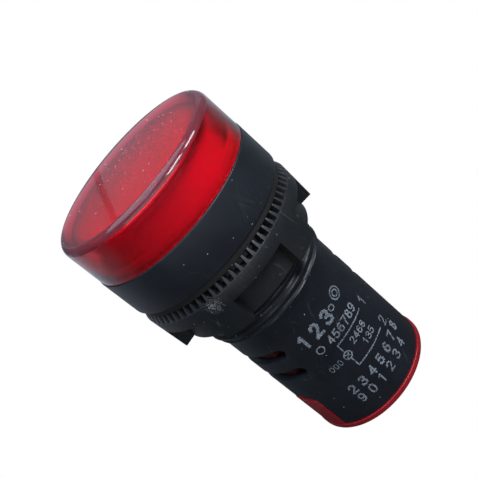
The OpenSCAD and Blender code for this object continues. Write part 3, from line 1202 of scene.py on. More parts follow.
@dataclass
class LensHead(Assembly):
    """Clear lens shell over the saturated red cup, and the dust on the lens.

    Attributes:
        wall: Thickness of the lens.
        edge: Radius of the rounding round the face.
        draft: How far the lens comes in from its foot to its face.
        spigot_wall: Thickness of the spigot that snaps into the bezel.
        spigot_inset: How far the spigot stands in from the bezel's outside.
        blend: Radius of the fillets where spigot and shell meet inside.
        foot_h: Height of the foot, where the lens is red from the bezel below it.
        rim_shade_tilt: Least and greatest upward share of the normals on the rounded edge.
        cup_wall: Thickness of the cup.
        cup_shade_tilt: Greatest upward share of the normals on the cup's side.
        flake: How far the face lies under the dust's outer side.
        flakes: Number of flakes of dust.
        flake_size: Least and greatest radius of a flake.
        dust_middle: Place on the face where the dust lies thickest.
        dust_spread: How far the dust spreads from there.
    """

    wall: float = 1.7 * MM
    edge: float = 1.3 * MM
    draft: float = 0.05 * MM
    spigot_wall: float = 1.1 * MM
    spigot_inset: float = 1.7 * MM
    blend: float = 2.0 * MM
    foot_h: float = 1.9 * MM
    rim_shade_tilt: tuple[float, float] = (0.22, 0.96)
    cup_wall: float = 0.8 * MM
    cup_shade_tilt: float = 0.7
    flake: float = 0.02 * MM
    flakes: int = 45
    flake_size: tuple[float, float] = (0.05 * MM, 0.11 * MM)
    dust_middle: tuple[float, float] = (2.0 * MM, 2.5 * MM)
    dust_spread: float = 5.0 * MM

    def build(self) -> None:
        """Makes the lens shell, the cup under it and the dust on it."""
        self.build_shell()
        self.build_cup()
        self.build_dust()

    def build_shell(self) -> None:
        """Makes the lens with its spigot, gives its rounded edge a painted shade and marks
        its foot.
        """
        s = self.sizes
        face_z = s.lens_z - self.flake
        inner = s.lens_r - self.wall
        spigot_out = s.bezel_r - self.spigot_inset
        spigot_in = spigot_out - self.spigot_wall
        outline = rounded(
            [
                (0.0, face_z, 0.0),
                (s.lens_r - self.draft, face_z, self.edge),
                (s.lens_r, s.bezel_z, 0.15 * MM),
                (spigot_out, s.bezel_z, 0.0),
                (spigot_out, s.spigot_z, 0.1 * MM),
                (spigot_in, s.spigot_z, 0.1 * MM),
                (spigot_in, s.bezel_z - self.blend, self.blend),
                (inner, s.bezel_z + self.spigot_wall, self.blend),
                (inner - self.draft, s.lens_z - self.wall, 1.0 * MM),
                (0.0, s.lens_z - self.wall, 0.0),
            ],
            steps=8,
        )
        shell = shade(lathe("lens_shell", outline, 224), 30)
        self.place(shell, Body.CASE, "red_lens", ["lens_cap"])
        edge_z = face_z - self.edge
        foot_z = s.bezel_z + self.foot_h
        foot_r = inner + 0.01 * MM
        low, high = self.rim_shade_tilt
        # The rounded edge gets the painted shade, a dark mauve tone.
        self.dress_faces(
            shell,
            "lens_edge",
            lambda face: face.center.z > edge_z and low < face.normal.z < high,
        )
        self.dress_faces(
            shell,
            "lens_foot",
            lambda face: face.center.z < foot_z and face.center.xy.length < foot_r,
        )

    def build_cup(self) -> None:
        """Makes the red cup, with painted shade on its side, which is darker than its face.
        """
        low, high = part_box("diffuser")
        radius, foot, top = high[0], low[2], high[2]
        inner, ceiling = radius - self.cup_wall, top - self.cup_wall
        outline = rounded(
            [
                (0.0, top, 0.0),
                (radius, top, 0.35 * MM),
                (radius, foot, 0.05 * MM),
                (inner, foot, 0.05 * MM),
                (inner, ceiling, 0.2 * MM),
                (0.0, ceiling, 0.0),
            ],
            steps=6,
        )
        cup = shade(lathe("red_cup", outline, 192), 30)
        self.place(cup, Body.CASE, "red_diffuser", ["diffuser"])
        # The cup's side gets the painted shade.
        self.dress_faces(cup, "cup_skirt", lambda f: abs(f.normal.z) < self.cup_shade_tilt)

    def build_dust(self) -> None:
        """Scatters thin flakes of dust over the lens's face, densest beyond its middle."""
        rng = random.Random(7)
        verts: list[Point] = []
        faces: list[tuple[int, ...]] = []
        sides = 6
        z, reach = self.sizes.lens_z, self.sizes.lens_r - self.edge
        while len(faces) < self.flakes:
            x, y = (rng.gauss(at, self.dust_spread) for at in self.dust_middle)
            if math.hypot(x, y) > reach:
                continue
            size = rng.uniform(*self.flake_size)
            spin = rng.uniform(0, TURN)
            base = len(verts)
            for k in range(sides):
                a = spin + TURN * k / sides
                r = size * rng.uniform(0.6, 1.3)
                verts.append((x + r * math.cos(a), y + r * math.sin(a), z))
            faces.append(tuple(range(base, base + sides)))
        dust = mesh_object("lens_dust", verts, faces)
        face_outwards(dust, lambda point: Vector((0, 0, 1)))
        thicken(dust, 1.5 * self.flake)
        self.place(dust, Body.CASE, "dust_flake", slot="red_lens")


@dataclass
class Housing(Assembly):
    """Black bezel, threaded neck and barrel, with its print.

    Attributes:
        barrel: Fine sizes.
        segments: Columns round the axis.
        thread_rows: Rows along the threaded neck.
        socket_wall: Wall of the bezel round the lens's spigot.
        socket_depth: Depth of the bezel's socket.
        edge: Width of the rounding of the vents' and notches' edges.
        ink_lift: How far the print's outer side stands off the barrel.
    """

    barrel: Barrel = field(default_factory=Barrel)
    segments: int = 240
    thread_rows: int = 128
    socket_wall: float = 1.6 * MM
    socket_depth: float = 5.0 * MM
    edge: float = 0.12 * MM
    ink_lift: float = 0.012 * MM

    def thread_radius(self, angle: float, z: float) -> float:
        """Gives the radius of the threaded neck at an angle and a height.

        Args:
            angle: Angle about Z.
            z: Height, 0 at the bezel's seat.

        Returns:
            Radius of the surface there.
        """
        b = self.barrel
        phase = (-z / b.pitch + angle / TURN) % 1.0
        away = abs(phase - 0.5) * 2
        rise = min(max((b.root - away) / (b.root - b.crest), 0.0), 1.0)
        helix = b.root_r + (b.thread_r - b.root_r) * rise
        start = -b.thread_len
        if z >= start + b.lead_in:
            return helix
        cone = b.radius + (b.thread_r - b.radius) * (z - start) / b.lead_in
        return max(min(helix, cone), b.radius)

    def build(self) -> None:
        """Makes the moulding and its print.

        The helix takes the place of the outline's last two corners, which only close it.
        """
        s, b = self.sizes, self.barrel
        socket_r = s.bezel_r - self.socket_wall
        floor_z = s.bezel_z - self.socket_depth
        head = rounded(
            [
                (s.bezel_r, 0.0, 0.22 * MM),
                (s.bezel_r, s.bezel_z, 0.18 * MM),
                (socket_r, s.bezel_z, 0.1 * MM),
                (socket_r, floor_z, 0.15 * MM),
                (b.bore, floor_z, 0.15 * MM),
                (b.bore, s.barrel_z, 0.1 * MM),
                (b.radius, s.barrel_z, 0.2 * MM),
                (b.radius, -b.thread_len, 0.0),
                (b.root_r, 0.0, 0.0),
            ],
            steps=4,
        )[:-2]
        count = self.thread_rows
        rows = [-b.thread_len * (1 - i / count) for i in range(count + 1)]
        columns = []
        for i in range(self.segments):
            angle = TURN * i / self.segments
            neck = [(self.thread_radius(angle, z), z) for z in rows]
            columns.append((angle, head + neck))
        body = wrap_columns("housing_body", columns)
        cut(body, self.cutters())
        low, high = s.barrel_z + 0.3 * MM, -b.thread_len - 0.5 * MM
        bevel_sharp(body, self.edge, 50, lambda point: low < point.z < high)
        shade(body, 32)
        self.place(body, Body.CASE, "black_moulding", ["housing"])
        self.build_print()

    def cutters(self) -> list[bpy.types.Object]:
        """Makes the solids that cut the vents, the tongues' notches and their ramps.

        Returns:
            Four solids for each side of the barrel.
        """
        b, out = self.barrel, []
        wall, rear = b.radius - b.bore, self.sizes.barrel_z
        vent = rounded_box(b.vent_h / 2, b.vent_half, b.vent_h / 2 * 0.98, 8)
        inside, outside, top = b.bore - 0.5 * MM, b.radius + MM, rear + b.notch_len
        notch = [(inside, rear - MM), (outside, rear - MM), (outside, top), (inside, top)]
        start = top - 0.05 * MM
        end = start + b.ramp_len
        ramp = [
            (b.radius - b.ramp_depth, start),
            (b.radius + wall, start),
            (b.radius + wall, end),
            (b.radius + 0.02 * MM, end),
        ]
        lying = Matrix.Rotation(RIGHT_ANGLE, 4, "Y")
        upright = Matrix.Rotation(RIGHT_ANGLE, 4, "X")
        for side in BOTH_SIDES:
            spin = Matrix.Rotation(side, 4, "Z")
            for z in b.vent_z:
                place = spin @ Matrix.Translation((b.vent_start, 0, z)) @ lying
                out.append(prism("vent_cutter", vent, b.vent_reach, place))
            stand = spin @ Matrix.Translation((0, b.notch_half, 0)) @ upright
            out.append(prism("notch_cutter", notch, 2 * b.notch_half, stand))
            out.append(prism("ramp_cutter", ramp, 2 * b.notch_half, stand))
        return out

    def build_print(self) -> None:
        """Prints numerals, rings and the lamp symbol with its two numbered leads."""
        artwork = BarrelPrint(self.barrel.radius + self.ink_lift)
        artwork.lamp_symbol(-3.4, -25.75, 0.66)
        artwork.line([(-3.4, -25.1), (-3.4, -23.4), (3.1, -23.4)])
        artwork.line([(-3.4, -26.4), (-3.4, -28.3), (3.1, -28.3)])
        artwork.digits("1", 4.3, -24.3, 1.6)
        artwork.digits("2", 4.1, -29.1, 1.6)
        artwork.digits("123", -6.7, -20.1, 2.1, stroke=0.46, gap=0.55)
        artwork.ring(0.25, -18.9, 0.45)
        artwork.ring(2.4, -18.3, 0.95)
        artwork.ring(2.4, -18.3, 0.5)
        artwork.ring(-5.4, -21.9, 0.6)
        artwork.digits("456789", -3.7, -22.6, 1.35, stroke=0.22)
        artwork.digits("2468", -1.6, -25.4, 1.1, stroke=0.17)
        artwork.digits("135", -0.4, -27.3, 1.1, stroke=0.17)
        artwork.digits("000", -6.9, -26.2, 0.95, stroke=0.12)
        artwork.digits("2345678", -7.3, -31.4, 1.5, stroke=0.3, gap=0.75)
        artwork.digits("901234", -7.3, -33.6, 1.5, stroke=0.24, gap=0.8)
        ink = artwork.build("barrel_print")
        self.place(ink, Body.CASE, "print_ink", slot="black_moulding")


NUMERAL_WIDTH = 0.6

# Strokes of each numeral, in a frame as wide as NUMERAL_WIDTH and 1 high.
NUMERALS: dict[str, Outline] = {
    "0": [
        (0.3, 0), (0.1, 0.1), (0.03, 0.35), (0.03, 0.65), (0.1, 0.9), (0.3, 1),
        (0.5, 0.9), (0.57, 0.65), (0.57, 0.35), (0.5, 0.1), (0.3, 0),
    ],
    "1": [(0.1, 0.78), (0.33, 1), (0.33, 0)],
    "2": [
        (0.04, 0.76), (0.12, 0.93), (0.3, 1), (0.48, 0.93), (0.56, 0.75), (0.48, 0.54),
        (0.04, 0), (0.58, 0),
    ],
    "3": [
        (0.04, 0.84), (0.15, 0.97), (0.32, 1), (0.5, 0.92), (0.55, 0.75), (0.46, 0.58),
        (0.26, 0.53), (0.48, 0.47), (0.58, 0.27), (0.5, 0.07), (0.3, 0), (0.11, 0.04),
        (0.02, 0.18),
    ],
    "4": [(0.44, 0), (0.44, 1), (0.02, 0.3), (0.6, 0.3)],
    "5": [
        (0.53, 1), (0.12, 1), (0.07, 0.55), (0.28, 0.63), (0.48, 0.56), (0.57, 0.33),
        (0.49, 0.09), (0.3, 0), (0.11, 0.04), (0.02, 0.18),
    ],
    "6": [
        (0.52, 0.9), (0.34, 1), (0.14, 0.88), (0.04, 0.6), (0.04, 0.28), (0.13, 0.06),
        (0.31, 0), (0.49, 0.08), (0.57, 0.3), (0.49, 0.53), (0.31, 0.6), (0.12, 0.52),
        (0.04, 0.34),
    ],
    "7": [(0.03, 1), (0.57, 1), (0.22, 0)],
    "8": [
        (0.3, 0.54), (0.1, 0.66), (0.08, 0.85), (0.3, 1), (0.52, 0.85), (0.5, 0.66),
        (0.3, 0.54), (0.08, 0.4), (0.03, 0.2), (0.12, 0.05), (0.3, 0), (0.48, 0.05),
        (0.57, 0.2), (0.52, 0.4), (0.3, 0.54),
    ],
    "9": [
        (0.08, 0.1), (0.26, 0), (0.46, 0.12), (0.56, 0.4), (0.56, 0.72), (0.47, 0.94),
        (0.29, 1), (0.11, 0.92), (0.03, 0.7), (0.11, 0.47), (0.29, 0.4), (0.48, 0.48),
        (0.56, 0.66),
    ],
}


@dataclass
class BarrelPrint:
    """Thin ink shapes wrapped on the barrel's printed side.

    Positions are in millimetres: arc length from the middle of the printed side towards
    +X, and height.

    Attributes:
        radius: Radius of the ink's outer face.
        stroke: Width of a drawn line, in millimetres.
        span: Greatest length of a flat strip, in millimetres.
        depth: Thickness of the ink.
        verts: Points drawn so far.
        faces: Strips drawn so far.
    """

    radius: float
    stroke: float = 0.2
    span: float = 0.4
    depth: float = 0.02 * MM
    verts: list[Point] = field(default_factory=list)
    faces: list[tuple[int, ...]] = field(default_factory=list)

    def wrap(self, s: float, z: float) -> Point:
        """Wraps a flat point onto the barrel."""
        angle = s * MM / self.radius
        return (self.radius * math.sin(angle), -self.radius * math.cos(angle), z * MM)

    def quad(self, corners: Sequence[tuple[float, float] | Vector], spans: int = 1) -> None:
        """Adds a flat four-sided shape, split along its first side.

        Args:
            corners: Four flat corners, in order.
            spans: Number of strips from the first side to the last.
        """
        a, b, c, d = (Vector(p) for p in corners)
        for i in range(spans + 1):
            t = i / spans
            self.verts.append(self.wrap(*a.lerp(b, t)))
            self.verts.append(self.wrap(*d.lerp(c, t)))
        base = len(self.verts) - 2 * (spans + 1)
        for i in range(spans):
            k = base + 2 * i
            self.faces.append((k, k + 2, k + 3, k + 1))

    def line(self, points: Sequence[tuple[float, float]]) -> None:
        """Draws straight strokes from point to point, square at their ends.

        Args:
            points: Points to join, in order.
        """
        half = self.stroke / 2
        for p, q in zip(points, points[1:]):
            a, b = Vector(p), Vector(q)
            along = (b - a).normalized() * half
            side = Vector((-along.y, along.x))
            spans = max(1, round((b - a).length / self.span))
            start, end = a - along, b + along
            self.quad([start - side, end - side, end + side, start + side], spans)

    def ring(self, s: float, z: float, radius: float, steps: int = 40) -> None:
        """Draws a circle.

        Args:
            s: Place of its middle round the barrel.
            z: Height of its middle.
            radius: Its radius.
            steps: Number of its strips.
        """
        inner, outer = radius - self.stroke / 2, radius + self.stroke / 2
        for i in range(steps):
            a, b = TURN * i / steps, TURN * (i + 1) / steps
            corners = ((inner, a), (inner, b), (outer, b), (outer, a))
            self.quad([(s + r * math.cos(w), z + r * math.sin(w)) for r, w in corners])

    def lamp_symbol(self, s: float, z: float, radius: float) -> None:
        """Draws a circle with a diagonal cross.

        Args:
            s: Place of its middle round the barrel.
            z: Height of its middle.
            radius: Its radius.
        """
        self.ring(s, z, radius)
        reach = radius * math.sqrt(0.5)
        self.line([(s - reach, z - reach), (s + reach, z + reach)])
        self.line([(s - reach, z + reach), (s + reach, z - reach)])

    def digits(
        self,
        text: str,
        s: float,
        z: float,
        height: float,
        stroke: float = 0.2,
        gap: float = 0.25,
    ) -> None:
        """Draws a row of numerals from its lower left corner.

        Args:
            text: The numerals.
            s: Where the row starts.
            z: Height of its foot.
            height: Height of a numeral, in millimetres.
            stroke: Width of its strokes, in millimetres.
            gap: Space between numerals, as a share of their height.
        """
        usual, self.stroke = self.stroke, stroke
        for i, numeral in enumerate(text):
            left = s + i * height * (NUMERAL_WIDTH + gap)
            self.line([(left + u * height, z + v * height) for u, v in NUMERALS[numeral]])
        self.stroke = usual

    def build(self, name: str) -> bpy.types.Object:
        """Makes the ink, sunk into the barrel with its outer side just proud.

        Args:
            name: Name of the new object.

        Returns:
            The ink as one object.
        """
        obj = mesh_object(name, self.verts, self.faces)
        face_outwards(obj, lambda point: Vector((point.x, point.y, 0)))
        thicken(obj, self.depth)
        return shade(obj, 60)


@dataclass
class NutAndGasket(Assembly):
    """Toothed ring nut and the gasket above it.

    Attributes:
        nut: Fine sizes of the nut.
        gasket_fillet: Radius of the gasket's rounded edges.
        wear_and_highlight_tilt: Least and greatest upward share of the normals on the paler
            tooth ends, worn and given a painted highlight.
    """

    nut: Nut = field(default_factory=Nut)
    gasket_fillet: float = 0.12 * MM
    wear_and_highlight_tilt: tuple[float, float] = (0.2, 0.97)

    def build(self) -> None:
        """Makes the gasket ring and the ring nut."""
        self.build_gasket()
        self.build_nut()

    def build_gasket(self) -> None:
        """Makes the gasket, a ring between bezel and nut."""
        outer, inner, fillet = self.sizes.gasket_r, self.nut.bore, self.gasket_fillet
        corners = [
            (outer, 0.0, fillet),
            (inner, 0.0, fillet),
            (inner, self.sizes.nut_top_z, fillet),
            (outer, self.sizes.nut_top_z, fillet),
        ]
        gasket = lathe("gasket_ring", rounded(corners, steps=4))
        shade(gasket, 40)
        self.place(gasket, Body.GASKET, "gasket_rubber", ["panel_gasket"])

    def build_nut(self) -> None:
        """Makes the ring nut; the upward-facing ends of its teeth are paler, partly from
        wear and partly as a painted highlight.
        """
        ring = wrap_columns("nut_ring", self.columns())
        bevel_sharp(ring, self.nut.edge, 38)
        shade(ring, 40)
        self.place(ring, Body.NUT, "black_nut", ["ring_nut"])
        foot = self.sizes.nut_top_z - self.nut.crown_h - 0.12 * MM
        low, high = self.wear_and_highlight_tilt
        # Upward-facing tooth ends get the paler finish: wear and painted highlight.
        self.dress_faces(
            ring, "black_worn", lambda f: f.center.z > foot and low < f.normal.z < high
        )

    def columns(self) -> list[tuple[float, Outline]]:
        """Lists the nut's sections: four to a tooth, and two at each lug's side.

        Returns:
            Angle and section of each column, in order round the axis.
        """
        n = self.nut
        tooth, pitch = TURN / n.teeth, TURN / n.lugs
        side = -1.0
        marks: list[tuple[float, float]] = []
        shape = ((-n.tip, 0.0), (n.tip, 0.0), (n.foot, 1.0), (1 - n.foot, 1.0))
        for i in range(n.teeth):
            for share, depth in shape:
                marks.append(((i + share) * tooth % TURN, depth))
        for lug in range(n.lugs):
            middle = n.lug_start + lug * pitch
            for way in (-1, 1):
                marks.append(((middle + way * n.lug_angle / 2) % TURN, side))
        out: list[tuple[float, Outline]] = []
        for angle, depth in sorted(marks):
            if depth == side:
                level = self.notch_at(angle)
                before = self.in_lug(angle - 1e-4)
                out.append((angle, self.section(level, before)))
                out.append((angle, self.section(level, not before)))
            else:
                out.append((angle, self.section(depth, self.in_lug(angle))))
        return out

    def notch_at(self, angle: float) -> float:
        """Gives the depth of the gaps between the teeth at an angle.

        Args:
            angle: Angle about Z.

        Returns:
            0 on a tooth's tip, 1 in a gap.
        """
        n = self.nut
        share = (angle / (TURN / n.teeth) + n.tip) % 1.0 - n.tip
        away = 0.5 - abs(share - 0.5)
        return min(max((away - n.tip) / (n.foot - n.tip), 0.0), 1.0)

    def in_lug(self, angle: float) -> bool:
        """Says whether an angle lies on a grip lug.

        Args:
            angle: Angle about Z.

        Returns:
            True on a lug.
        """
        n = self.nut
        pitch = TURN / n.lugs
        away = (angle - n.lug_start + pitch / 2) % pitch - pitch / 2
        return abs(away) < n.lug_angle / 2

    def section(self, depth: float, lug: bool) -> Outline:
        """Gives one closed section of the nut.

        Args:
            depth: Share of the full notch depth.
            lug: Whether the section runs through a grip lug.

        Returns:
            The section, with the same number of points in every case.
        """
        s, n = self.sizes, self.nut
        top, end = s.nut_top_z, s.nut_end_z
        drop = depth * n.notch_depth
        crown_r = s.nut_r - n.crown_slope
        cone_r = crown_r + n.crown_slope * drop / n.crown_h
        slope = n.draft / (top - n.crown_h - end)
        flange_z = top - n.flange_h
        flange_r = s.nut_r - slope * (n.flange_h - n.crown_h)
        lug_z = end + n.lug_end_gap
        lug_r = s.nut_r - slope * (top - n.crown_h - lug_z)
        notch_r = s.nut_r - n.notch_reach
        side_r = flange_r if lug else n.body_r
        foot_r = lug_r if lug else n.body_r
        return [
            (n.bore, top),
            (notch_r, top),
            (notch_r, top - drop),
            (cone_r, top - drop),
            (s.nut_r, top - n.crown_h),
            (flange_r, flange_z),
            (side_r, flange_z),
            (foot_r, lug_z),
            (n.body_r, lug_z),
            (n.body_r, end),
            (n.bore, end),
        ]


@dataclass
class TerminalBlock(Assembly):
    """Red rear block with its rails, tongues and wells.

    Attributes:
        plug_r: Radius of the plug inside the barrel.
        plug_len: Length of the plug.
        rim_t: Thickness of the rear rim.
        rail_half: Half of a guide rail's width.
        rail_in: Distance from the axis to a rail's inner face.
        rail_groove: Distance from the axis to the bottom of a rail's groove.
        board_half: Half of the groove's width.
        tongue_half: Half of a snap tongue's width.
        tongue_r: Radius of a tongue's outer face.
        tongue_t: How far a tongue reaches in behind the plug's outside.
        tongue_len: Length of a tongue.
        well_x: Distance from the axis to a terminal well's middle.
        well_half_w: Half of a well's width.
        well_half_l: Half of a well's length.
        well_depth: Depth of a well.
        overlap: How far rails and tongues are sunk into what carries them.
    """

    plug_r: float = 9.1 * MM
    plug_len: float = 12.0 * MM
    rim_t: float = 1.0 * MM
    rail_half: float = 3.0 * MM
    rail_in: float = 7.1 * MM
    rail_groove: float = 7.9 * MM
    board_half: float = 0.7 * MM
    tongue_half: float = 2.8 * MM
    tongue_r: float = 10.3 * MM
    tongue_t: float = 0.4 * MM
    tongue_len: float = 6.8 * MM
    well_x: float = 4.1 * MM
    well_half_w: float = 3.1 * MM
    well_half_l: float = 4.2 * MM
    well_depth: float = 7.0 * MM
    overlap: float = 0.3 * MM

    @property
    def rim_z(self) -> float:
        """Height of the rim's front."""
        return self.sizes.rear_z + self.rim_t

    @property
    def plug_z(self) -> float:
        """Height of the plug's front."""
        return self.rim_z + self.plug_len

    def build(self) -> None:
        """Makes the block, with painted shade, a near-black red, on its faces inside the
        barrel.
        """
        parts = [self.plug()]
        for side in BOTH_SIDES:
            spin = Matrix.Rotation(side, 4, "Z")
            parts += [self.rail(spin), self.tongue(spin)]
        block = shade(join("terminal_block", parts))
        self.place(block, Body.CASE, "red_block", ["terminal_base"])
        inside = self.plug_z - 0.05 * MM
        # Faces inside the barrel get the painted shade.
        self.dress_faces(block, "red_inner", lambda face: face.center.z > inside)

    def plug(self) -> bpy.types.Object:
        """Makes the rim and the plug, with both wells cut and their edges rounded.

        Returns:
            The plug with its rim.
        """
        rear_z, rim_z = self.sizes.rear_z, self.rim_z
        outline = rounded(
            [
                (0.0, rear_z, 0.0),
                (self.sizes.rim_r, rear_z, 0.3 * MM),
                (self.sizes.rim_r, rim_z, 0.12 * MM),
                (self.plug_r, rim_z, 0.0),
                (self.plug_r, self.plug_z, 0.2 * MM),
                (0.0, self.plug_z, 0.0),
            ],
            steps=4,
        )
        plug = lathe("terminal_block", outline, 192)
        well = rounded_box(self.well_half_w, self.well_half_l, 0.5 * MM)
        cutters = []
        for side in BOTH_SIDES:
            place = Matrix.Translation((self.well_x, 0, rear_z - MM))
            place = Matrix.Rotation(side, 4, "Z") @ place
            cutters.append(prism("well_cutter", well, self.well_depth + MM, place))
        cut(plug, cutters)
        bevel_sharp(plug, 0.15 * MM, 50, lambda point: point.z < rim_z)
        return plug

    @staticmethod
    def arc(half: float, radius: float, spans: int = 16) -> Outline:
        """Gives the points of an arc that is symmetric about the x axis.

        Args:
            half: Half of its chord.
            radius: Its radius.
            spans: Number of its spans.

        Returns:
            The points, from below the axis to above it.
        """
        reach = math.asin(half / radius)
        angles = (reach * (2 * i / spans - 1) for i in range(spans + 1))
        return [(radius * math.cos(a), radius * math.sin(a)) for a in angles]

    def rail(self, spin: Matrix) -> bpy.types.Object:
        """Makes one guide rail, a slice of the plug's circle with a groove.

        Args:
            spin: Turn to the rail's side.

        Returns:
            The rail.
        """
        half, groove, inner = self.rail_half, self.board_half, self.rail_in
        outline = self.arc(half, self.plug_r) + [
            (inner, half),
            (inner, groove),
            (self.rail_groove, groove),
            (self.rail_groove, -groove),
            (inner, -groove),
            (inner, -half),
        ]
        low = self.plug_z - self.overlap
        place = spin @ Matrix.Translation((0, 0, low))
        rail = prism("rail", outline, self.sizes.rail_z - low, place)
        bevel_sharp(rail, 0.1 * MM, 50)
        return rail

    def tongue(self, spin: Matrix) -> bpy.types.Object:
        """Makes one snap tongue, curved to the barrel and rounded at its edges.

        Args:
            spin: Turn to the tongue's side.

        Returns:
            The tongue.
        """
        half, inner = self.tongue_half, self.plug_r - self.tongue_t
        outline = self.arc(half, self.tongue_r) + [(inner, half), (inner, -half)]
        place = spin @ Matrix.Translation((0, 0, self.rim_z - self.overlap))
        tongue = prism("tongue", outline, self.tongue_len + self.overlap, place)
        bevel_sharp(tongue, 0.18 * MM, 50, segments=3)
        return tongue


@dataclass
class Terminals(Assembly):
    """Terminal screws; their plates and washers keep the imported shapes.

    Attributes:
        head_r: Radius of the pan head.
        head_h: Height of the head.
        shank_r: Radius over the thread.
        shank_len: Length of the shank.
        pitch: Travel in one turn of the thread.
        thread_depth: Depth of the thread.
        tip_len: Length of the tapered tip.
        tip_slope: How much the radius falls for each length of tip.
        slot_half: Half of the cross slot's length, as a share of the head's radius.
        slot_w: Width of the cross slot.
        slot_depth: Depth of the cross slot.
        rows: Rows along the shank.
        segments: Columns round the shank.
    """

    head_r: float = 2.5 * MM
    head_h: float = 2.0 * MM
    shank_r: float = 1.5 * MM
    shank_len: float = 6.0 * MM
    pitch: float = 0.5 * MM
    thread_depth: float = 0.14 * MM
    tip_len: float = 0.5 * MM
    tip_slope: float = 0.6
    slot_half: float = 0.66
    slot_w: float = 0.9 * MM
    slot_depth: float = 0.8 * MM
    rows: int = 96
    segments: int = 48

    def build(self) -> None:
        """Makes both screws."""
        for number, body in ((1, Body.SCREW_1), (2, Body.SCREW_2)):
            self.build_screw(number, body)

    def build_screw(self, number: int, body: Body) -> None:
        """Makes one pan-head screw with a cross slot and a threaded shank.

        Args:
            number: Terminal number, 1 on the +X side.
            body: Body that carries the screw.
        """
        node = f"terminal_screw_{number}"
        low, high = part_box(node)
        middle = [(a + b) / 2 for a, b in zip(low, high)]
        seat = Vector((middle[0], middle[1], low[2] + self.head_h))
        screw = join(f"screw_{number}", [self.head(), self.shank()])
        for vertex in screw.data.vertices:
            vertex.co += seat
        shade(screw)
        self.place(screw, body, "screw_steel", [node])

    def head(self) -> bpy.types.Object:
        """Makes the head below z = 0, with its cross slot.

        Returns:
            The head.
        """
        outline = rounded(
            [
                (0.0, 0.0, 0.0),
                (self.head_r, 0.0, 0.1 * MM),
                (self.head_r, -self.head_h, 0.7 * MM),
                (0.0, -self.head_h, 0.0),
            ],
            steps=6,
        )
        head = lathe("head", outline, 96)
        shape = rounded_box(self.head_r * self.slot_half, self.slot_w / 2, 0.1 * MM, 3)
        slots = []
        for turn in (0.0, RIGHT_ANGLE):
            place = Matrix.Translation((0, 0, -self.head_h - MM))
            place = Matrix.Rotation(turn, 4, "Z") @ place
            slots.append(prism("slot", shape, self.slot_depth + MM, place))
        cut(head, slots)
        bevel_sharp(head, 0.06 * MM, 50, lambda point: point.z < -0.5 * MM)
        return head

    def shank(self) -> bpy.types.Object:
        """Makes the threaded shank above z = 0.

        Returns:
            The shank.
        """
        columns = []
        for i in range(self.segments):
            angle = TURN * i / self.segments
            section = [(0.0, 0.0)]
            for k in range(self.rows + 1):
                z = self.shank_len * k / self.rows
                phase = (z / self.pitch - angle / TURN) % 1.0
                depth = self.thread_depth * abs(2 * phase - 1)
                tip = max(0.0, z - self.shank_len + self.tip_len)
                section.append((self.shank_r - depth - tip * self.tip_slope, z))
            section.append((0.0, self.shank_len))
            columns.append((angle, section))
        return wrap_columns("shank", columns)


# ---------------------------------------------------------------------------------------
# Stage
# ---------------------------------------------------------------------------------------


@dataclass(frozen=True)
class Shot:
    """Where the camera stands and how it is held.

    Attributes:
        aim: Point that the camera looks at.
        distance: Distance from the aim to the camera.
        azimuth: Bearing of the camera, 0 at -Y.
        elevation: Height of the camera above the aim, as an angle.
        roll: How far the camera's top leans to its right.
        lens: Focal length, in millimetres.
        sensor: Width of the sensor, in millimetres.
        clip: Nearest and farthest distance that is drawn.
    """

    aim: Point = (2.37 * MM, -0.83 * MM, -5.46 * MM)
    distance: float = 124.42 * MM
    azimuth: float = math.radians(-19.26)
    elevation: float = math.radians(23.69)
    roll: float = math.radians(49.46)
    lens: float = 64.77
    sensor: float = 36.0
    clip: tuple[float, float] = (0.005, 20.0)

    def back(self) -> Vector:
        """Gives the direction from the aim to the camera."""
        flat, rise = math.cos(self.elevation), math.sin(self.elevation)
        return Vector((math.sin(self.azimuth) * flat, -math.cos(self.azimuth) * flat, rise))

    def turn(self) -> Matrix:
        """Gives the camera's rotation, roll included."""
        look = (-self.back()).to_track_quat("-Z", "Y").to_matrix()
        return look @ Matrix.Rotation(-self.roll, 3, "Z")


@dataclass(frozen=True)
class Lamp:
    """One soft area light that faces the object.

    Attributes:
        name: Name of the light.
        toward: Direction to the light in the object's own frame.
        distance: Distance from the object.
        size: Width and height of the light.
        radiance: Brightness of its face.
        tint: Colour of its light.
        spin: Turn of the light about its own axis.
        slide: Sideways shift along its own width.
    """

    name: str
    toward: Point
    distance: float
    size: tuple[float, float]
    radiance: float
    tint: Colour = (1.0, 1.0, 1.0)
    spin: float = 0.0
    slide: float = 0.0

    @property
    def power(self) -> float:
        """Power in watts that gives the stated brightness."""
        return self.radiance * math.pi * self.size[0] * self.size[1]


PALE: Colour = (0.90, 0.94, 1.0)
COOL: Colour = (0.66, 0.80, 1.0)

# Two key panes stand side by side, for the broken streak on the lens's edge.
KEY_AT = (0.50, -0.60, 0.62)
KEY_SPIN = math.radians(-9)

# Two faint cards leave a dark line between their reflections in the lens's face.
CARD_AT = (0.228, 0.924, 0.307)
CARD_SPIN = math.radians(-12)

LAMPS = (
    Lamp("key_left", KEY_AT, 0.40, (0.175, 0.10), 17.5, PALE, KEY_SPIN, -0.115),
    Lamp("key_right", KEY_AT, 0.40, (0.155, 0.10), 15.0, PALE, KEY_SPIN, 0.105),
    Lamp("top", (-0.05, 0.10, 0.99), 0.45, (0.56, 0.46), 2.6, COOL),
    Lamp("fill", (-0.38, -0.90, 0.16), 0.90, (1.60, 1.00), 1.3, PALE),
    Lamp("card_wide", CARD_AT, 0.42, (0.34, 0.45), 0.20, COOL, CARD_SPIN, -0.173),
    Lamp("card_narrow", CARD_AT, 0.42, (0.14, 0.45), 0.15, COOL, CARD_SPIN, 0.073),
)


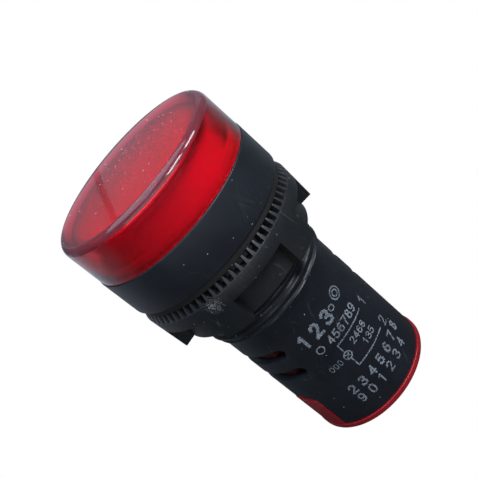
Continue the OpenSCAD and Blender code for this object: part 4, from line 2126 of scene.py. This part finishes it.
def straight_look(nodes: NodeTree) -> bpy.types.NodeSocket:
    """Finds the camera's own rays, also those that have passed through clear pieces.

    Args:
        nodes: Tree that the test is added to.

    Returns:
        1 for such a ray and 0 for all others.
    """
    path = nodes.add("ShaderNodeLightPath")
    bounced = nodes.math("ADD", path.outputs["Diffuse Depth"], path.outputs["Glossy Depth"])
    straight = nodes.math("LESS_THAN", bounced, 0.5)
    through = nodes.math("MULTIPLY", path.outputs["Is Transmission Ray"], straight)
    return nodes.math("ADD", path.outputs["Is Camera Ray"], through, clamp=True)


@dataclass
class Studio:
    """White floor, soft lights, world and camera.

    Attributes:
        sizes: Main sizes of the light.
        shot: Where the camera stands.
        floor_half: Half of the floor's side.
        floor_gap: Gap between the rear rim and the floor.
        floor_dark: Tone of the floor before the light, which keeps its front side black.
        floor_pale: Tones of the floor beyond it.
        floor_reach: Distance over which the floor turns pale.
        bright_side: Direction from which the world is brightest.
        world_level: Least strength of the world and what its brightest side adds.
    """

    sizes: Sizes
    shot: Shot
    floor_half: float = 3.0
    floor_gap: float = 0.02 * MM
    floor_dark: float = 0.04
    floor_pale: tuple[float, float] = (0.74, 0.82)
    floor_reach: float = 0.24
    bright_side: Point = (0.45, 0.80, 0.40)
    world_level: tuple[float, float] = (0.045, 0.10)

    def build(self) -> None:
        """Makes everything round the object."""
        self.build_floor()
        self.build_world()
        for lamp in LAMPS:
            self.build_lamp(lamp)
        self.build_camera()

    def build_floor(self) -> None:
        """Makes the floor that the rear rim stands on, white where the camera sees it."""
        half, z = self.floor_half, self.sizes.rear_z - self.floor_gap
        corners = [(-half, -half, z), (half, -half, z), (half, half, z), (-half, half, z)]
        floor = mesh_object("floor", corners, [(0, 1, 2, 3)])
        material = bpy.data.materials.new("floor_white")
        material.use_nodes = True
        nodes = NodeTree(material.node_tree)
        shader = material.node_tree.nodes["Principled BSDF"]
        place = nodes.add("ShaderNodeTexCoord").outputs["Object"]
        spot = nodes.add("ShaderNodeSeparateXYZ", {0: place})
        beyond = nodes.ramp(spot.outputs["Y"], 0.0, self.floor_reach)
        speck = nodes.add("ShaderNodeTexNoise", {"Scale": 60.0, "Detail": 3.0})
        tones = [(level, level, level) for level in (self.floor_dark, *self.floor_pale)]
        pale = nodes.mix(speck.outputs["Fac"], tones[1], tones[2])
        nodes.feed(shader.inputs["Base Color"], nodes.mix(beyond, tones[0], pale))
        shader.inputs["Roughness"].default_value = 0.9
        glow = nodes.add("ShaderNodeEmission", {"Color": (1, 1, 1, 1), "Strength": 1.0})
        self.show_straight(nodes, shader, glow, material.node_tree.nodes["Material Output"])
        floor.data.materials.append(material)

    def build_world(self) -> None:
        """Makes the even studio light, white where the camera sees it."""
        world = bpy.data.worlds.new("studio")
        world.use_nodes = True
        bpy.context.scene.world = world
        nodes = NodeTree(world.node_tree)
        world.node_tree.nodes.clear()
        seen = nodes.add("ShaderNodeBackground", {"Color": (1, 1, 1, 1), "Strength": 1.0})
        way = nodes.add("ShaderNodeTexCoord").outputs["Generated"]
        aim = nodes.vector_math("DOT_PRODUCT", way, self.bright_side).outputs["Value"]
        least, more = self.world_level
        bright = nodes.math("MULTIPLY", nodes.ramp(aim, -0.25, 0.95), more)
        level = nodes.math("ADD", bright, least)
        lit = nodes.add("ShaderNodeBackground", {"Color": (*COOL, 1.0), "Strength": level})
        self.show_straight(nodes, lit, seen, nodes.add("ShaderNodeOutputWorld"))

    @staticmethod
    def show_straight(
        nodes: NodeTree,
        lit: bpy.types.Node,
        seen: bpy.types.Node,
        out: bpy.types.Node,
    ) -> None:
        """Shows one shader to the camera's own rays and another to all others.

        Args:
            nodes: Tree of both shaders.
            lit: Shader for all other rays.
            seen: Shader for the camera's own rays.
            out: The tree's output node.
        """
        ways = {0: straight_look(nodes), 1: lit.outputs[0], 2: seen.outputs[0]}
        mixed = nodes.add("ShaderNodeMixShader", ways)
        nodes.feed(out.inputs["Surface"], mixed.outputs[0])

    def build_lamp(self, lamp: Lamp) -> None:
        """Makes one area light that faces the object.

        Args:
            lamp: The light's place, size and brightness.
        """
        data = bpy.data.lights.new(lamp.name, "AREA")
        data.shape = "RECTANGLE"
        data.size, data.size_y = lamp.size
        data.energy = lamp.power
        data.color = lamp.tint
        obj = bpy.data.objects.new(lamp.name, data)
        toward = Vector(lamp.toward).normalized()
        face = (-toward).to_track_quat("-Z", "Y").to_matrix()
        face = face @ Matrix.Rotation(lamp.spin, 3, "Z")
        aside = face @ Vector((lamp.slide, 0, 0))
        place = Vector(self.shot.aim) + toward * lamp.distance + aside
        obj.matrix_world = Matrix.Translation(place) @ face.to_4x4()
        obj.visible_camera = False
        bpy.context.collection.objects.link(obj)

    def build_camera(self) -> None:
        """Makes the camera at its shot and gives it to the scene."""
        shot = self.shot
        data = bpy.data.cameras.new("camera")
        data.lens = shot.lens
        data.sensor_width = shot.sensor
        data.clip_start, data.clip_end = shot.clip
        camera = bpy.data.objects.new("camera", data)
        place = Matrix.Translation(Vector(shot.aim) + shot.back() * shot.distance)
        camera.matrix_world = place @ shot.turn().to_4x4()
        bpy.context.collection.objects.link(camera)
        bpy.context.scene.camera = camera


# ---------------------------------------------------------------------------------------
# Scene
# ---------------------------------------------------------------------------------------


def finish_packed_nodes(shop: MaterialShop) -> None:
    """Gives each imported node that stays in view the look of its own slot.

    Args:
        shop: Where finishes come from.
    """
    slots = {part["node"]: part["material_slot"] for part in frame["record"]["subparts"]}
    for name, obj in frame["nodes"].items():
        finish = slots.get(name)
        if finish not in FINISHES:
            continue
        for entry in obj.material_slots:
            entry.material = shop.get(finish)
        LOG.info("%s: packed node, finish %s", name, finish)


def main() -> None:
    """Builds the dressed light, its lights and its camera."""
    logging.basicConfig(level=logging.INFO, format="%(name)s %(message)s")
    bpy.context.scene.view_settings.view_transform = "Standard"
    sizes = Sizes.from_frame()
    shop = MaterialShop(FINISHES)
    finish_packed_nodes(shop)
    for kind in (LensHead, Housing, NutAndGasket, TerminalBlock, Terminals):
        assembly = kind(sizes, shop)
        assembly.build()
        LOG.info("%s: %d pieces", kind.__name__, len(assembly.pieces))
    Studio(sizes, Shot()).build()


if __name__ == "__main__":
    main()
